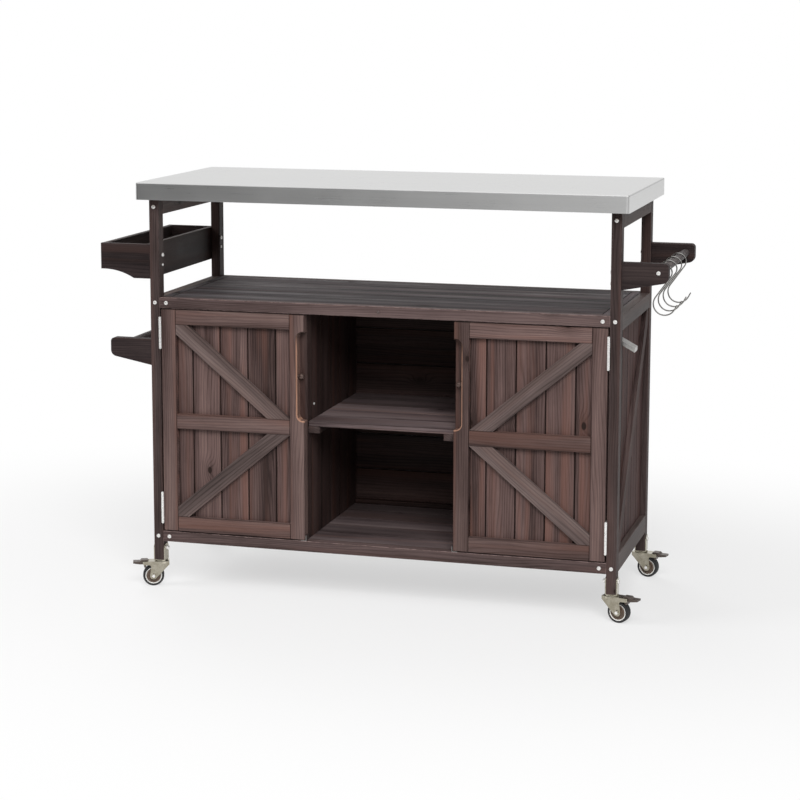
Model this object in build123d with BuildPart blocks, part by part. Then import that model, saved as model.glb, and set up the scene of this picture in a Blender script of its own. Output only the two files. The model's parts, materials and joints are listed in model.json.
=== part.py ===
from build123d import *
import os
from math import acos, asin, atan2, cos, degrees, hypot, radians, sin, sqrt

# Outdoor kitchen island on four braked casters, in millimetres.
# X runs along its length, the doors face -Y, Z is up, and the origin is on the
# floor under the middle of the worktop. Left and right are those of the viewer.

# Worktop: a folded steel pan over a timber core
top_length = 1100
top_depth = 470
top_thickness = 38
side_overhang = 20
front_overhang = 30
sheet = 1.2
corner_radius = 6
fold_radius = 3
core_fit = 0.15

# Levels, measured from the post's foot or head
post_height = 822
deck_drop = 220
floor_rise = 68
shelf_drop = 266

# Timber sections
post_width = 22
post_depth = 28
rail_thickness = 22
rail_height = 24
apron_height = 36
side_top_rail_height = 34
side_bottom_rail_height = 40
strip_width = 20
board_thickness = 12
side_board_thickness = 10
side_brace_thickness = 10
brace_width = 34
partition_board = 12
partition_stile = 22
shelf_gap = 0.5
cleat_width = 26
cleat_height = 15
back_cleat = 12
board_gap = 0.6
edge_ease = 1
groove_ease = 1.5
deck_board_count = 5
side_board_count = 5
back_board_count = 6

# Doors, each with a finger notch and a small knob in its inner stile
door_width = 335.5
door_gap = 2.15
door_back_gap = 0.5
hinge_gap = 3
stile_width = 34
door_frame_thickness = 12
door_board_thickness = 10
door_board_pitch = 65
door_joint = 0.1
partition_lap = 1.5
notch_top = 39
notch_length = 198
notch_depth = 17
notch_radius = 14
notch_ease = 2.5
knob_radius = 6.5
knob_stem_radius = 2.5
knob_base_radius = 5
knob_base_height = 2
knob_reach = 14

# Butt hinges, their pins just proud of the front
hinge_length = 70
hinge_end = 18
leaf_width = 18
leaf_thickness = 1.2
knuckle_radius = 3
middle_knuckle = 23
knuckle_gap = 0.4
pin_radius = 1.25
pin_head_radius = 2.2
pin_head_height = 1.2
pin_stand = 3.5
running_fit = 0.06

# Steel door stops beside the inner bottom corner of each door
stop_sheet = 1.2
stop_width = 12
stop_depth = 20
stop_height = 13

# Spice rack on the left posts
rack_reach = 117.6
rack_drop = 102
rack_inner_height = 77
rack_outer_height = 58
rack_board = 12
rack_floor_thickness = 8
rack_floor_lift = 4
rack_curve_start = 8
rack_flat = 39

# Rod racks: a towel rod low on the left, a hook rod high on the right
arm_reach = 99
arm_root = 59
arm_end = 40
arm_thickness = 22
arm_top_round = 9
arm_bottom_round = 14
rod_radius = 9
rod_inset = 21
rod_drop = 20
rod_seat = 10
hook_arm_drop = 106
towel_arm_drop = 316

# Wire hooks hanging on the right rod
hook_wire = 3
hook_upper_radius = 17.5
hook_lower_radius = 24
hook_spread = 67.5
hook_shift = 2.8
hook_upper_tail = 14
hook_lower_tail = 10
hook_upper_angle = 145
hook_lower_angle = -28
hook_seat = 0.3
hook_count = 4
hook_from_arm = 50
hook_pitch = 68

# Bottle opener on the right side, just behind the front post
opener_sheet = 2
opener_width = 36
opener_plate = 38
opener_hood = 37
opener_slope = 19
opener_lip = 9
opener_root = 3
opener_below_rail = 19
opener_from_post = 9

# Dome-headed bolts and screws
bolt_radius = 2.5
bolt_head_radius = 4.5
bolt_head_height = 3
dome_share = 0.7
socket_share = 0.4
socket_depth_share = 0.6
bolt_bite = 30
bolt_play = 0.2
screw_radius = 1.5
screw_head_radius = 3
screw_head_height = 2
screw_bite = 8
rail_bolt_inset = 15.5
rack_bolt_edge = 7
rack_bolt_drop = 25
rack_screw_drop = 47
arm_bolt_drops = (22, 46)
partition_screw_rise = 32
partition_screw_inset = 18

# Casters: a saddle bolted round the leg, a swivel fork, a wheel and a brake pedal
wheel_radius = 24
wheel_width = 20
tyre_wall = 6.5
tyre_round = 4
hub_inset = 1.5
hub_fit = 0.1
axle_radius = 3
axle_head_radius = 5
axle_head_height = 3
trail = 18
cheek_thickness = 2
cheek_gap = 1
cheek_boss = 8
cheek_front = 18
cheek_rear = 22
cheek_round = 4
cheek_edge = 5
cheek_skirt = 3
crown_radius = 17
crown_to_pivot = 8
crown_thickness = 4.4
crown_gap = 0.4
wheel_to_rivet = 2.5
rivet_radius = 7
rivet_height = 2.1
kingpin_radius = 4
race_radius = 15
race_height = 2
saddle_sheet = 2.2
saddle_width = 24
ear_height = 36
ear_round = 9
saddle_bolt_rise = 26
saddle_bolt_radius = 3
saddle_nut_radius = 5
saddle_nut_height = 7
pivot_behind_axle = 19
pivot_rise = 1
pivot_radius = 1.5
pivot_head_radius = 2.4
pivot_head_height = 0.8
pivot_wall = 2
pedal_width = 18
pedal_gap = 2
pedal_reach = 27
pedal_lip_low = 1
pedal_lip_high = 3
pedal_pad_rise = 6.5
pedal_step = 12
tongue_width = 3
brake_gap = 4.1
# Direction in degrees in which each caster's wheel trails behind its leg
caster_turns = {"front_left": 202, "front_right": -15, "rear_left": 168, "rear_right": -11}

# Places worked out from the sizes above
crown_under = 2 * wheel_radius + wheel_to_rivet + rivet_height + crown_gap
fork_top = crown_under + crown_thickness
saddle_base = fork_top + crown_gap + race_height
leg_z = saddle_base + saddle_sheet
under_top = leg_z + post_height
deck_z = under_top - deck_drop
floor_z = leg_z + floor_rise
shelf_z = deck_z - shelf_drop
deck_under = deck_z - board_thickness
frame_x = top_length / 2 - side_overhang
frame_y = top_depth / 2 - front_overhang
inner_x = frame_x - post_width
inner_y = frame_y - post_depth
post_x = frame_x - post_width / 2
post_y = frame_y - post_depth / 2
rail_y = frame_y - rail_thickness
strip_x = inner_x - strip_width
panel_low = floor_z - rail_height + side_bottom_rail_height
panel_high = deck_z - side_top_rail_height
door_front = -frame_y
door_middle = door_front + door_frame_thickness
door_back = door_middle + door_board_thickness
door_mid_y = (door_front + door_back) / 2
door_outer = -inner_x + hinge_gap
door_inner = door_outer + door_width
door_top = deck_z - rail_height - door_gap
door_bottom = floor_z + door_gap
door_centre_z = (door_top + door_bottom) / 2
bay_x = -door_inner - partition_lap
stile_y = door_back + door_back_gap
partition_y = stile_y + partition_stile
pin_x = -inner_x + hinge_gap / 2
pin_y = door_front - pin_stand
notch_z = door_top - notch_top - notch_length / 2
hinge_heights = (door_bottom + hinge_end + hinge_length / 2, door_top - hinge_end - hinge_length / 2)
frame_bolt_heights = (under_top - apron_height / 2, deck_z - rail_height / 2, floor_z - rail_height / 2)
rack_top = under_top - rack_drop
rack_low = rack_top - rack_inner_height
rack_outer_low = rack_top - rack_outer_height
rack_x = frame_x + rack_reach
rack_y = frame_y - rack_board
hook_arm_top = under_top - hook_arm_drop
towel_arm_top = under_top - towel_arm_drop
rod_x = frame_x + arm_reach - rod_inset
hook_rod_z = hook_arm_top - rod_drop
towel_rod_z = towel_arm_top - rod_drop
arm_outer_y = post_y + arm_thickness / 2
arm_inner_y = post_y - arm_thickness / 2
rod_length = 2 * (arm_inner_y + rod_seat)
board_face_x = inner_x + side_board_thickness
pivot_x = trail + pivot_behind_axle
pivot_z = crown_under + pivot_rise
cheek_y = wheel_width / 2 + cheek_gap
fork_y = cheek_y + cheek_thickness
BASE = (Align.CENTER, Align.CENTER, Align.MIN)


def timber(low, high):
    """One straight piece of timber between two opposite corners, all its edges eased."""
    middle = [(a + b) / 2 for a, b in zip(low, high)]
    with BuildPart(Plane(origin=middle)) as piece:
        Box(*[b - a for a, b in zip(low, high)])
        chamfer(piece.edges(), edge_ease)
    return piece.part


def even_joints(start, end, count):
    """The inner joint lines of a run divided into equal boards."""
    return [start + (end - start) * index / count for index in range(1, count)]


def boards(low, high, run, joints):
    """Boards that fill a box, side by side along one axis, with a thin gap at every joint."""
    lines = [low[run], *joints, high[run]]
    with BuildPart() as row:
        for start, end in zip(lines, lines[1:]):
            first, last = list(low), list(high)
            first[run], last[run] = start + board_gap / 2, end - board_gap / 2
            with Locations(tuple((a + b) / 2 for a, b in zip(first, last))):
                Box(*[b - a for a, b in zip(first, last)])
        chamfer(row.edges(), groove_ease)
    return row.part


def brace(plane, centre, width, height, rising, thickness, offset=0):
    """A strip from a corner of an upright rectangle, passing the far corner at an offset, cut off at its edges."""
    diagonal = hypot(width, height)
    slope = rising * degrees(atan2(height, width) + asin(offset / diagonal))
    with BuildPart() as strip:
        with BuildSketch(plane):
            with Locations((centre[0] - width / 2, centre[1] - rising * height / 2)):
                Rectangle(4 * diagonal, brace_width, rotation=slope)
            with Locations(centre):
                Rectangle(width, height, mode=Mode.INTERSECT)
        extrude(amount=thickness)
        outer = strip.faces().sort_by(Axis(plane.origin, plane.z_dir))[-1]
        chamfer(outer.edges(), edge_ease)
    return strip.part


def drill(radius, depth, planes):
    """Cut a round hole into the open part at each plane, to a depth along the plane's normal."""
    if planes:
        with Locations(*[plane.location for plane in planes]):
            Cylinder(radius, depth, align=BASE, mode=Mode.SUBTRACT)


def dome_bolt(radius, head_radius, head_height, length):
    """A bolt along +Z: its dome head, with a hex socket, stands below the origin and its shank above it."""
    with BuildPart() as bolt:
        Cylinder(radius, length, align=BASE)
        with Locations((0, 0, -head_height)):
            Cylinder(head_radius, head_height, align=BASE)
        fillet(bolt.edges().sort_by(Axis.Z)[0], head_height * dome_share)
        with BuildSketch(Plane.XY.offset(-head_height)):
            RegularPolygon(head_radius * socket_share, 6)
        extrude(amount=head_height * socket_depth_share, mode=Mode.SUBTRACT)
    return bolt.part


def placed(shape, planes):
    """Separate copies of a shape, one at each plane."""
    with BuildPart() as copies:
        with Locations(*[plane.location for plane in planes]):
            add(shape)
    return copies.part


def both_sides(shape):
    """A shape and its mirror image across the middle of the length."""
    with BuildPart() as pair:
        add(shape)
        mirror(shape, about=Plane.YZ)
    return pair.part


def other_side(shape):
    """The mirror image of a shape across the middle of the length."""
    with BuildPart() as image:
        mirror(shape, about=Plane.YZ)
    return image.part


def merged(*shapes):
    """Several separate solids kept together as one group."""
    with BuildPart() as group:
        for shape in shapes:
            add(shape)
    return group.part


def inward(x, y, z):
    """A plane on a front or rear face, its normal towards the middle of the depth."""
    return Plane(origin=(x, y, z), z_dir=(0, -1 if y > 0 else 1, 0))


def outward(x, y, z):
    """A plane facing away from the middle of the length."""
    return Plane(origin=(x, y, z), z_dir=(1 if x > 0 else -1, 0, 0))


# Where the fasteners go
corners = [(x, y) for x in (-1, 1) for y in (-1, 1)]
post_bolts = [inward(x * post_x, y * frame_y, z) for x, y in corners for z in frame_bolt_heights]
rail_bolt_x = inner_x - rail_bolt_inset
rail_bolts = [inward(x * rail_bolt_x, y * frame_y, z) for x, y in corners for z in frame_bolt_heights[1:]]
rack_bolt_y = inner_y + rack_bolt_edge
rack_bolts = [outward(-inner_x, y, rack_top - rack_bolt_drop) for y in (-rack_bolt_y, rack_bolt_y)]
rack_screws = [outward(-inner_x, y, rack_top - rack_screw_drop) for y in (-rack_bolt_y, rack_bolt_y)]
hook_arm_bolts = [outward(inner_x, y, hook_arm_top - d) for y in (-post_y, post_y) for d in arm_bolt_drops]
recess_x = inner_x + bolt_head_height
towel_bolt_heights = [towel_arm_top - drop for drop in arm_bolt_drops]
towel_arm_bolts = [outward(-recess_x, y, z) for y in (-post_y, post_y) for z in towel_bolt_heights]
hook_rod_bolts = [inward(rod_x, y, hook_rod_z) for y in (-arm_outer_y, arm_outer_y)]
saddle_face_x = frame_x + saddle_sheet
saddle_bolt_z = leg_z + saddle_bolt_rise
saddle_bolts = [
    Plane(origin=(x * saddle_face_x, y * post_y, saddle_bolt_z), z_dir=(-x, 0, 0)) for x, y in corners
]
rail_screw = inward(0, -frame_y, deck_z - rail_height / 2)
screw_y = partition_y + partition_screw_inset
screw_z = shelf_z + partition_screw_rise
partition_screws = [outward(x * bay_x, screw_y, screw_z) for x in (-1, 1)]
opener_high = panel_high - opener_below_rail
opener_y = -inner_y + opener_from_post + opener_width / 2
opener_screw_z = opener_high - opener_plate + screw_head_radius * 2
opener_face_x = board_face_x + opener_sheet
opener_screws = [
    Plane(origin=(opener_face_x, opener_y + side * opener_width / 4, opener_screw_z), z_dir=(-1, 0, 0))
    for side in (-1, 1)
]
bolt_hole = bolt_radius + bolt_play
screw_hole = screw_radius + bolt_play
post_bolt_length = post_depth + bolt_bite
rail_bolt_length = rail_thickness + bolt_bite
rack_bolt_length = post_width + rack_board - edge_ease
rod_bolt_length = arm_thickness + bolt_bite
saddle_grip = post_width + 2 * saddle_sheet

pieces = {}

# Worktop
def rounded_slab(inset, drop):
    """A slab from the underside up, set in from the worktop's sides and top, its corners rounded to match."""
    with BuildPart(Plane.XY.offset(under_top)) as slab:
        Box(top_length - 2 * inset, top_depth - 2 * inset, top_thickness - inset, align=BASE)
        fillet(slab.edges().filter_by(Axis.Z), corner_radius - drop)
        fillet(slab.faces().sort_by(Axis.Z)[-1].edges(), fold_radius - drop)
    return slab.part


with BuildPart() as worktop_skin:
    add(rounded_slab(0, 0))
    add(rounded_slab(sheet, sheet), mode=Mode.SUBTRACT)
pieces["worktop_skin"] = worktop_skin.part
pieces["worktop_core"] = rounded_slab(sheet + core_fit, sheet)

# Posts, drilled for the frame, rack and caster bolts
with BuildPart() as posts:
    for x, y in corners:
        with Locations((x * post_x, y * post_y, leg_z)):
            Box(post_width, post_depth, post_height, align=BASE)
    chamfer(posts.edges().filter_by(Axis.Z), edge_ease)
    drill(bolt_hole, post_depth, post_bolts)
    drill(bolt_hole, post_width, rack_bolts + hook_arm_bolts)
    drill(screw_hole, post_width, rack_screws)
    drill(bolt_hole, post_width, towel_arm_bolts)
    head_room = bolt_head_height + bolt_play
    drill(bolt_head_radius + bolt_play, head_room, [Plane(p.origin, z_dir=-p.z_dir) for p in towel_arm_bolts])
    drill(saddle_bolt_radius + bolt_play, saddle_grip, saddle_bolts)
pieces["posts"] = posts.part

# Rails between the posts
side_levels = (
    (under_top - apron_height, under_top),
    (panel_high, deck_z),
    (floor_z - rail_height, panel_low),
)
with BuildPart() as side_rails:
    for low, high in side_levels:
        add(both_sides(timber((inner_x, -inner_y, low), (frame_x, inner_y, high))))
    drill(bolt_hole, post_bolt_length, post_bolts)
pieces["side_rails"] = side_rails.part

long_levels = ((deck_z - rail_height, deck_z), (floor_z - rail_height, floor_z))
with BuildPart() as front_rails:
    for low, high in long_levels:
        add(timber((-inner_x, -frame_y, low), (inner_x, -rail_y, high)))
    drill(bolt_hole, rail_thickness, rail_bolts)
    drill(screw_hole, screw_bite, [rail_screw])
pieces["front_rails"] = front_rails.part

with BuildPart() as rear_rails:
    for low, high in long_levels:
        add(timber((-inner_x, rail_y, low), (inner_x, frame_y, high)))
    drill(bolt_hole, rail_thickness, rail_bolts)
pieces["rear_rails"] = rear_rails.part

with BuildPart() as end_strips:
    for low, high in long_levels:
        add(both_sides(timber((strip_x, -rail_y, low), (inner_x, rail_y, high))))
    drill(bolt_hole, rail_bolt_length, rail_bolts)
pieces["end_strips"] = end_strips.part

# Side panels, each with one diagonal brace
side_joints = even_joints(-inner_y, inner_y, side_board_count)
with BuildPart() as side_boards:
    panel = boards((inner_x, -inner_y, panel_low), (board_face_x, inner_y, panel_high), 1, side_joints)
    add(both_sides(panel))
    drill(screw_hole, opener_sheet + screw_bite, opener_screws)
pieces["side_boards"] = side_boards.part

panel_size = (2 * inner_y, panel_high - panel_low)
panel_centre = (0, (panel_high + panel_low) / 2)
side_brace = brace(Plane.YZ.offset(board_face_x), panel_centre, *panel_size, 1, side_brace_thickness)
pieces["side_braces"] = both_sides(side_brace)

# Deck, floor, back and the two partitions
deck_joints = even_joints(-rail_y, rail_y, deck_board_count)
pieces["deck_boards"] = boards((-strip_x, -rail_y, deck_under), (strip_x, rail_y, deck_z), 1, deck_joints)
floor_under = floor_z - board_thickness
pieces["floor_boards"] = boards((-strip_x, -rail_y, floor_under), (strip_x, rail_y, floor_z), 1, deck_joints)

back_high = deck_z - rail_height
back_joints = even_joints(floor_z, back_high, back_board_count)
back_y = rail_y + board_thickness
pieces["back_boards"] = boards((-inner_x, rail_y, floor_z), (inner_x, back_y, back_high), 2, back_joints)
pieces["back_cleat"] = timber((-bay_x, rail_y - back_cleat, floor_z), (bay_x, rail_y, floor_z + back_cleat))

partition_joints = even_joints(partition_y, rail_y, deck_board_count)
with BuildPart() as partitions:
    stile = timber((bay_x, stile_y, floor_z), (bay_x + partition_stile, partition_y, deck_under))
    add(both_sides(stile))
    wall_high = (bay_x + partition_board, rail_y, deck_under)
    add(both_sides(boards((bay_x, partition_y, floor_z), wall_high, 1, partition_joints)))
    drill(screw_hole, screw_bite, partition_screws)
pieces["partitions"] = partitions.part

# Open shelf between the partitions
shelf_under = shelf_z - board_thickness
shelf_x = bay_x - shelf_gap
shelf_joints = even_joints(stile_y, rail_y, deck_board_count)
pieces["shelf_boards"] = boards((-shelf_x, stile_y, shelf_under), (shelf_x, rail_y, shelf_z), 1, shelf_joints)
shelf_cleat = timber((bay_x - cleat_width, stile_y, shelf_under - cleat_height), (bay_x, rail_y, shelf_under))
pieces["shelf_cleats"] = both_sides(shelf_cleat)

# Doors, drawn on the left and mirrored to the right
rail_from = door_outer + stile_width
rail_to = door_inner - stile_width
upper_low = door_centre_z + stile_width / 2
lower_high = door_centre_z - stile_width / 2
upper_high = door_top - stile_width
lower_low = door_bottom + stile_width

outer_stile = timber((door_outer, door_front, door_bottom), (rail_from, door_back, door_top))
with BuildPart() as inner_stile:
    add(timber((rail_to, door_front, door_bottom), (door_inner, door_back, door_top)))
    with BuildSketch(Plane.XZ.offset(frame_y)) as notch:
        with Locations((door_inner, notch_z)):
            Rectangle(2 * notch_depth, notch_length)
        fillet(notch.vertices().group_by(Axis.X)[0], notch_radius)
    extrude(amount=-door_frame_thickness - door_board_thickness, mode=Mode.SUBTRACT)
    front_plane = Plane(origin=(0, door_front, 0), x_dir=(1, 0, 0), z_dir=(0, 1, 0))
    with BuildSketch(front_plane) as notch_edge:
        with Locations((door_inner, -notch_z)):
            Rectangle(2 * (notch_depth + notch_ease), notch_length + 2 * notch_ease)
        fillet(notch_edge.vertices().group_by(Axis.X)[0], notch_radius + notch_ease)
    extrude(amount=notch_ease, taper=45, mode=Mode.SUBTRACT)

door_rails = [
    timber((rail_from + door_joint, door_front, low), (rail_to - door_joint, door_middle, high))
    for low, high in ((upper_high, door_top), (lower_high, upper_low), (door_bottom, lower_low))
]
left_frame = merged(outer_stile, inner_stile.part, *door_rails)

brace_plane = Plane.XZ.offset(-door_middle)
brace_size = (rail_to - rail_from, upper_high - upper_low)
brace_x = (rail_from + rail_to) / 2
upper_centre = (brace_x, (upper_high + upper_low) / 2)
lower_centre = (brace_x, (lower_high + lower_low) / 2)
half_brace = brace_width / 2
upper_brace = brace(brace_plane, upper_centre, *brace_size, -1, door_frame_thickness, half_brace)
lower_brace = brace(brace_plane, lower_centre, *brace_size, 1, door_frame_thickness, half_brace)

board_lines = [brace_x + door_board_pitch * step for step in (-1.5, -0.5, 0.5, 1.5)]
left_boards = boards((rail_from, door_middle, door_bottom), (rail_to, door_back, door_top), 0, board_lines)

with BuildPart() as knob:
    Cylinder(knob_base_radius, knob_base_height, align=BASE)
    Cylinder(knob_stem_radius, knob_reach - knob_radius, align=BASE)
    with Locations((0, 0, knob_reach - knob_radius)):
        Sphere(knob_radius)
knob_plane = Plane(origin=(door_inner - notch_depth, door_mid_y, notch_z), z_dir=(1, 0, 0))
left_knob = placed(knob.part, [knob_plane])


def hinge_leaf(plate_from, plate_to, spans):
    """A flat leaf beside a pin along Z, with a knuckle round the pin over each of the spans."""
    middle = (plate_from + plate_to) / 2
    with BuildPart() as leaf:
        with Locations((middle, pin_stand + leaf_width / 2, 0)):
            Box(leaf_thickness, leaf_width, hinge_length)
        for start, end in spans:
            with Locations((middle, pin_stand / 2, (start + end) / 2)):
                Box(leaf_thickness, pin_stand, end - start)
            with Locations((0, 0, start)):
                Cylinder(knuckle_radius, end - start, align=BASE)
        Cylinder(pin_radius + running_fit, hinge_length, mode=Mode.SUBTRACT)
    return leaf.part


half_knuckle = middle_knuckle / 2
end_from = half_knuckle + knuckle_gap
half_hinge = hinge_length / 2
leaf_low = hinge_gap / 2 - leaf_thickness
post_leaf = hinge_leaf(-hinge_gap / 2, -leaf_low, [(-half_hinge, -end_from), (end_from, half_hinge)])
door_leaf = hinge_leaf(leaf_low, hinge_gap / 2, [(-half_knuckle, half_knuckle)])
with BuildPart() as hinge_pin:
    half_pin = half_hinge + running_fit
    Cylinder(pin_radius, 2 * half_pin)
    with Locations((0, 0, half_pin), (0, 0, -half_pin - pin_head_height)):
        Cylinder(pin_head_radius, pin_head_height, align=BASE)
hinge_planes = [Plane((pin_x, pin_y, z)) for z in hinge_heights]
post_hinge_halves = merged(placed(post_leaf, hinge_planes), placed(hinge_pin.part, hinge_planes))
pieces["post_hinge_leaves"] = both_sides(post_hinge_halves)
left_leaves = placed(door_leaf, hinge_planes)

left_door = {
    "frame": left_frame,
    "braces": merged(upper_brace, lower_brace),
    "boards": left_boards,
    "knob": left_knob,
    "hinge_leaves": left_leaves,
}
for name, shape in left_door.items():
    pieces[f"left_door_{name}"] = shape
    pieces[f"right_door_{name}"] = other_side(shape)

# Door stops: a foot under the door and an upright beside its inner edge
stop_outer = bay_x - stop_sheet
with BuildPart() as door_stop:
    with Locations((stop_outer + stop_width / 2, door_mid_y, floor_z)):
        Box(stop_width, stop_depth, stop_sheet, align=BASE)
    with Locations((stop_outer + stop_sheet / 2, door_mid_y, floor_z)):
        Box(stop_sheet, stop_depth, stop_height, align=BASE)
pieces["door_stops"] = both_sides(door_stop.part)

# Spice rack: two shaped ends, an inner and an outer board and a floor
with BuildPart() as rack_end:
    with BuildSketch(Plane.XZ.offset(rack_y)) as outline:
        with BuildLine():
            flat_x = -frame_x - rack_flat
            curve_x = -rack_x + rack_curve_start
            Polyline((-frame_x, rack_low), (-frame_x, rack_top), (-rack_x, rack_top))
            Polyline((-rack_x, rack_top), (-rack_x, rack_outer_low), (curve_x, rack_outer_low))
            TangentArc((curve_x, rack_outer_low), (flat_x, rack_low), tangent=(1, 0))
            Line((flat_x, rack_low), (-frame_x, rack_low))
        make_face()
    extrude(amount=rack_board)
    chamfer(rack_end.faces().sort_by(Axis.Y)[0].edges(), edge_ease)
with BuildPart() as rack_ends:
    add(rack_end.part)
    mirror(rack_end.part, about=Plane.XZ)
pieces["rack_ends"] = rack_ends.part

rack_inner_x = frame_x + rack_board
rack_outer_x = rack_x - rack_board
pieces["rack_outer_board"] = timber((-rack_x, -rack_y, rack_outer_low), (-rack_outer_x, rack_y, rack_top))
with BuildPart() as rack_inner_board:
    add(timber((-rack_inner_x, -rack_y, rack_low), (-frame_x, rack_y, rack_top)))
    drill(bolt_hole, rack_bolt_length, rack_bolts)
    drill(screw_hole, rack_bolt_length, rack_screws)
pieces["rack_inner_board"] = rack_inner_board.part
rack_floor_low = rack_outer_low + rack_floor_lift
rack_floor_corner = (-rack_inner_x, rack_y, rack_floor_low + rack_floor_thickness)
pieces["rack_floor"] = timber((-rack_outer_x, -rack_y, rack_floor_low), rack_floor_corner)


def rack_arms(top, bolts, rod_bolts):
    """A front and a rear arm on the right-hand posts, drilled for their bolts and bored to seat the rod."""
    with BuildPart() as arm:
        with BuildSketch(Plane.XZ) as outline:
            with BuildLine():
                end_x = frame_x + arm_reach
                corner = (end_x, top - arm_end)
                Polyline((frame_x, top), (end_x, top), corner, (frame_x, top - arm_root), close=True)
            make_face()
            end_corners = outline.vertices().group_by(Axis.X)[-1].sort_by(Axis.Y)
            fillet(end_corners[0], arm_bottom_round)
            fillet(outline.vertices().group_by(Axis.X)[-1].sort_by(Axis.Y)[-1], arm_top_round)
        extrude(amount=arm_thickness / 2, both=True)
        chamfer(arm.faces().sort_by(Axis.Y)[0].edges() + arm.faces().sort_by(Axis.Y)[-1].edges(), edge_ease)
    with BuildPart() as arms:
        with Locations((0, -post_y, 0), (0, post_y, 0)):
            add(arm.part)
        drill(bolt_hole, post_width + bolt_bite, bolts)
        drill(bolt_hole, arm_thickness, rod_bolts)
        with Locations((rod_x, 0, top - rod_drop)):
            Cylinder(rod_radius + running_fit, rod_length, rotation=(90, 0, 0), mode=Mode.SUBTRACT)
    return arms.part


def rack_rod(height, rod_bolts):
    """A round rod seated in the arms on the right, drilled at both ends if it is bolted."""
    with BuildPart() as rod:
        with Locations((rod_x, 0, height)):
            Cylinder(rod_radius, rod_length, rotation=(90, 0, 0))
        drill(bolt_hole, rod_bolt_length, rod_bolts)
    return rod.part


def flipped(planes):
    """The mirror images of a set of planes across the middle of the length."""
    return [
        Plane(origin=(-plane.origin.X, plane.origin.Y, plane.origin.Z), z_dir=(-plane.z_dir.X, plane.z_dir.Y, 0))
        for plane in planes
    ]


pieces["hook_arms"] = rack_arms(hook_arm_top, hook_arm_bolts, hook_rod_bolts)
pieces["hook_rod"] = rack_rod(hook_rod_z, hook_rod_bolts)
pieces["towel_arms"] = other_side(rack_arms(towel_arm_top, flipped(towel_arm_bolts), []))
pieces["towel_rod"] = other_side(rack_rod(towel_rod_z, []))

# Hooks: an open loop over the rod, a slanting shank and a wide lower bend
loop_z = hook_rod_z + rod_radius + hook_seat - (hook_upper_radius - hook_wire / 2)
bend_x, bend_z = rod_x + hook_shift, loop_z - hook_spread
spread = hypot(hook_shift, hook_spread)
turn = acos((hook_upper_radius + hook_lower_radius) / spread)
side_angle = atan2(-hook_spread, hook_shift) + turn
side = (cos(side_angle), sin(side_angle))
shank_top = (rod_x + hook_upper_radius * side[0], loop_z + hook_upper_radius * side[1])
shank_foot = (bend_x - hook_lower_radius * side[0], bend_z - hook_lower_radius * side[1])
side_degrees = degrees(side_angle)
upper_turn, lower_turn = radians(hook_upper_angle), radians(hook_lower_angle)
with BuildPart() as hook:
    with BuildLine(Plane.XZ) as wire:
        start = (rod_x + hook_upper_radius * cos(upper_turn), loop_z + hook_upper_radius * sin(upper_turn))
        end = (start[0] - hook_upper_tail * sin(upper_turn), start[1] + hook_upper_tail * cos(upper_turn))
        Line(end, start)
        CenterArc((rod_x, loop_z), hook_upper_radius, hook_upper_angle, side_degrees - hook_upper_angle)
        Line(shank_top, shank_foot)
        bend_turn = 180 + hook_lower_angle - side_degrees
        CenterArc((bend_x, bend_z), hook_lower_radius, side_degrees + 180, bend_turn)
        foot = (bend_x + hook_lower_radius * cos(lower_turn), bend_z + hook_lower_radius * sin(lower_turn))
        tip = (foot[0] - hook_lower_tail * sin(lower_turn), foot[1] + hook_lower_tail * cos(lower_turn))
        Line(foot, tip)
    with BuildSketch(Plane(origin=wire.line @ 0, z_dir=wire.line % 0)):
        Circle(hook_wire / 2)
    sweep(path=wire.line)
for index in range(hook_count):
    hook_y = hook_from_arm - arm_inner_y + hook_pitch * index
    pieces[f"hook_{index + 1}"] = placed(hook.part, [Plane((0, hook_y, 0))])

# Bottle opener: a plate on the side boards with a sloping hood, a lip and two cheeks
with BuildPart() as bottle_opener:
    with BuildSketch(Plane.XZ.offset(-opener_y)):
        with BuildLine() as outline:
            hood_x, hood_z = board_face_x + opener_hood, opener_high - opener_slope
            plate_low, lip_low = opener_high - opener_plate, hood_z - opener_lip
            lip_x = hood_x - opener_sheet
            Polyline((opener_face_x, plate_low), (board_face_x, plate_low), (board_face_x, opener_high))
            Polyline((board_face_x, opener_high), (opener_face_x, opener_high), (hood_x, hood_z))
            Polyline((hood_x, hood_z), (hood_x, lip_low), (lip_x, lip_low), (lip_x, hood_z - opener_sheet))
            hood_root = (opener_face_x, opener_high - opener_root)
            Polyline((lip_x, hood_z - opener_sheet), hood_root, (opener_face_x, plate_low))
        make_face()
    extrude(amount=opener_width / 2, both=True)
    for wing in (-1, 1):
        wing_y = opener_y + wing * (opener_width - opener_sheet) / 2
        with BuildSketch(Plane.XZ.offset(-wing_y)):
            with BuildLine():
                wing_root = (opener_face_x, opener_high - opener_lip)
                Polyline((opener_face_x, opener_high), (hood_x, hood_z), (hood_x, lip_low), wing_root, close=True)
            make_face()
        extrude(amount=opener_sheet / 2, both=True)
    drill(screw_hole, opener_sheet, opener_screws)
pieces["bottle_opener"] = bottle_opener.part

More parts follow.
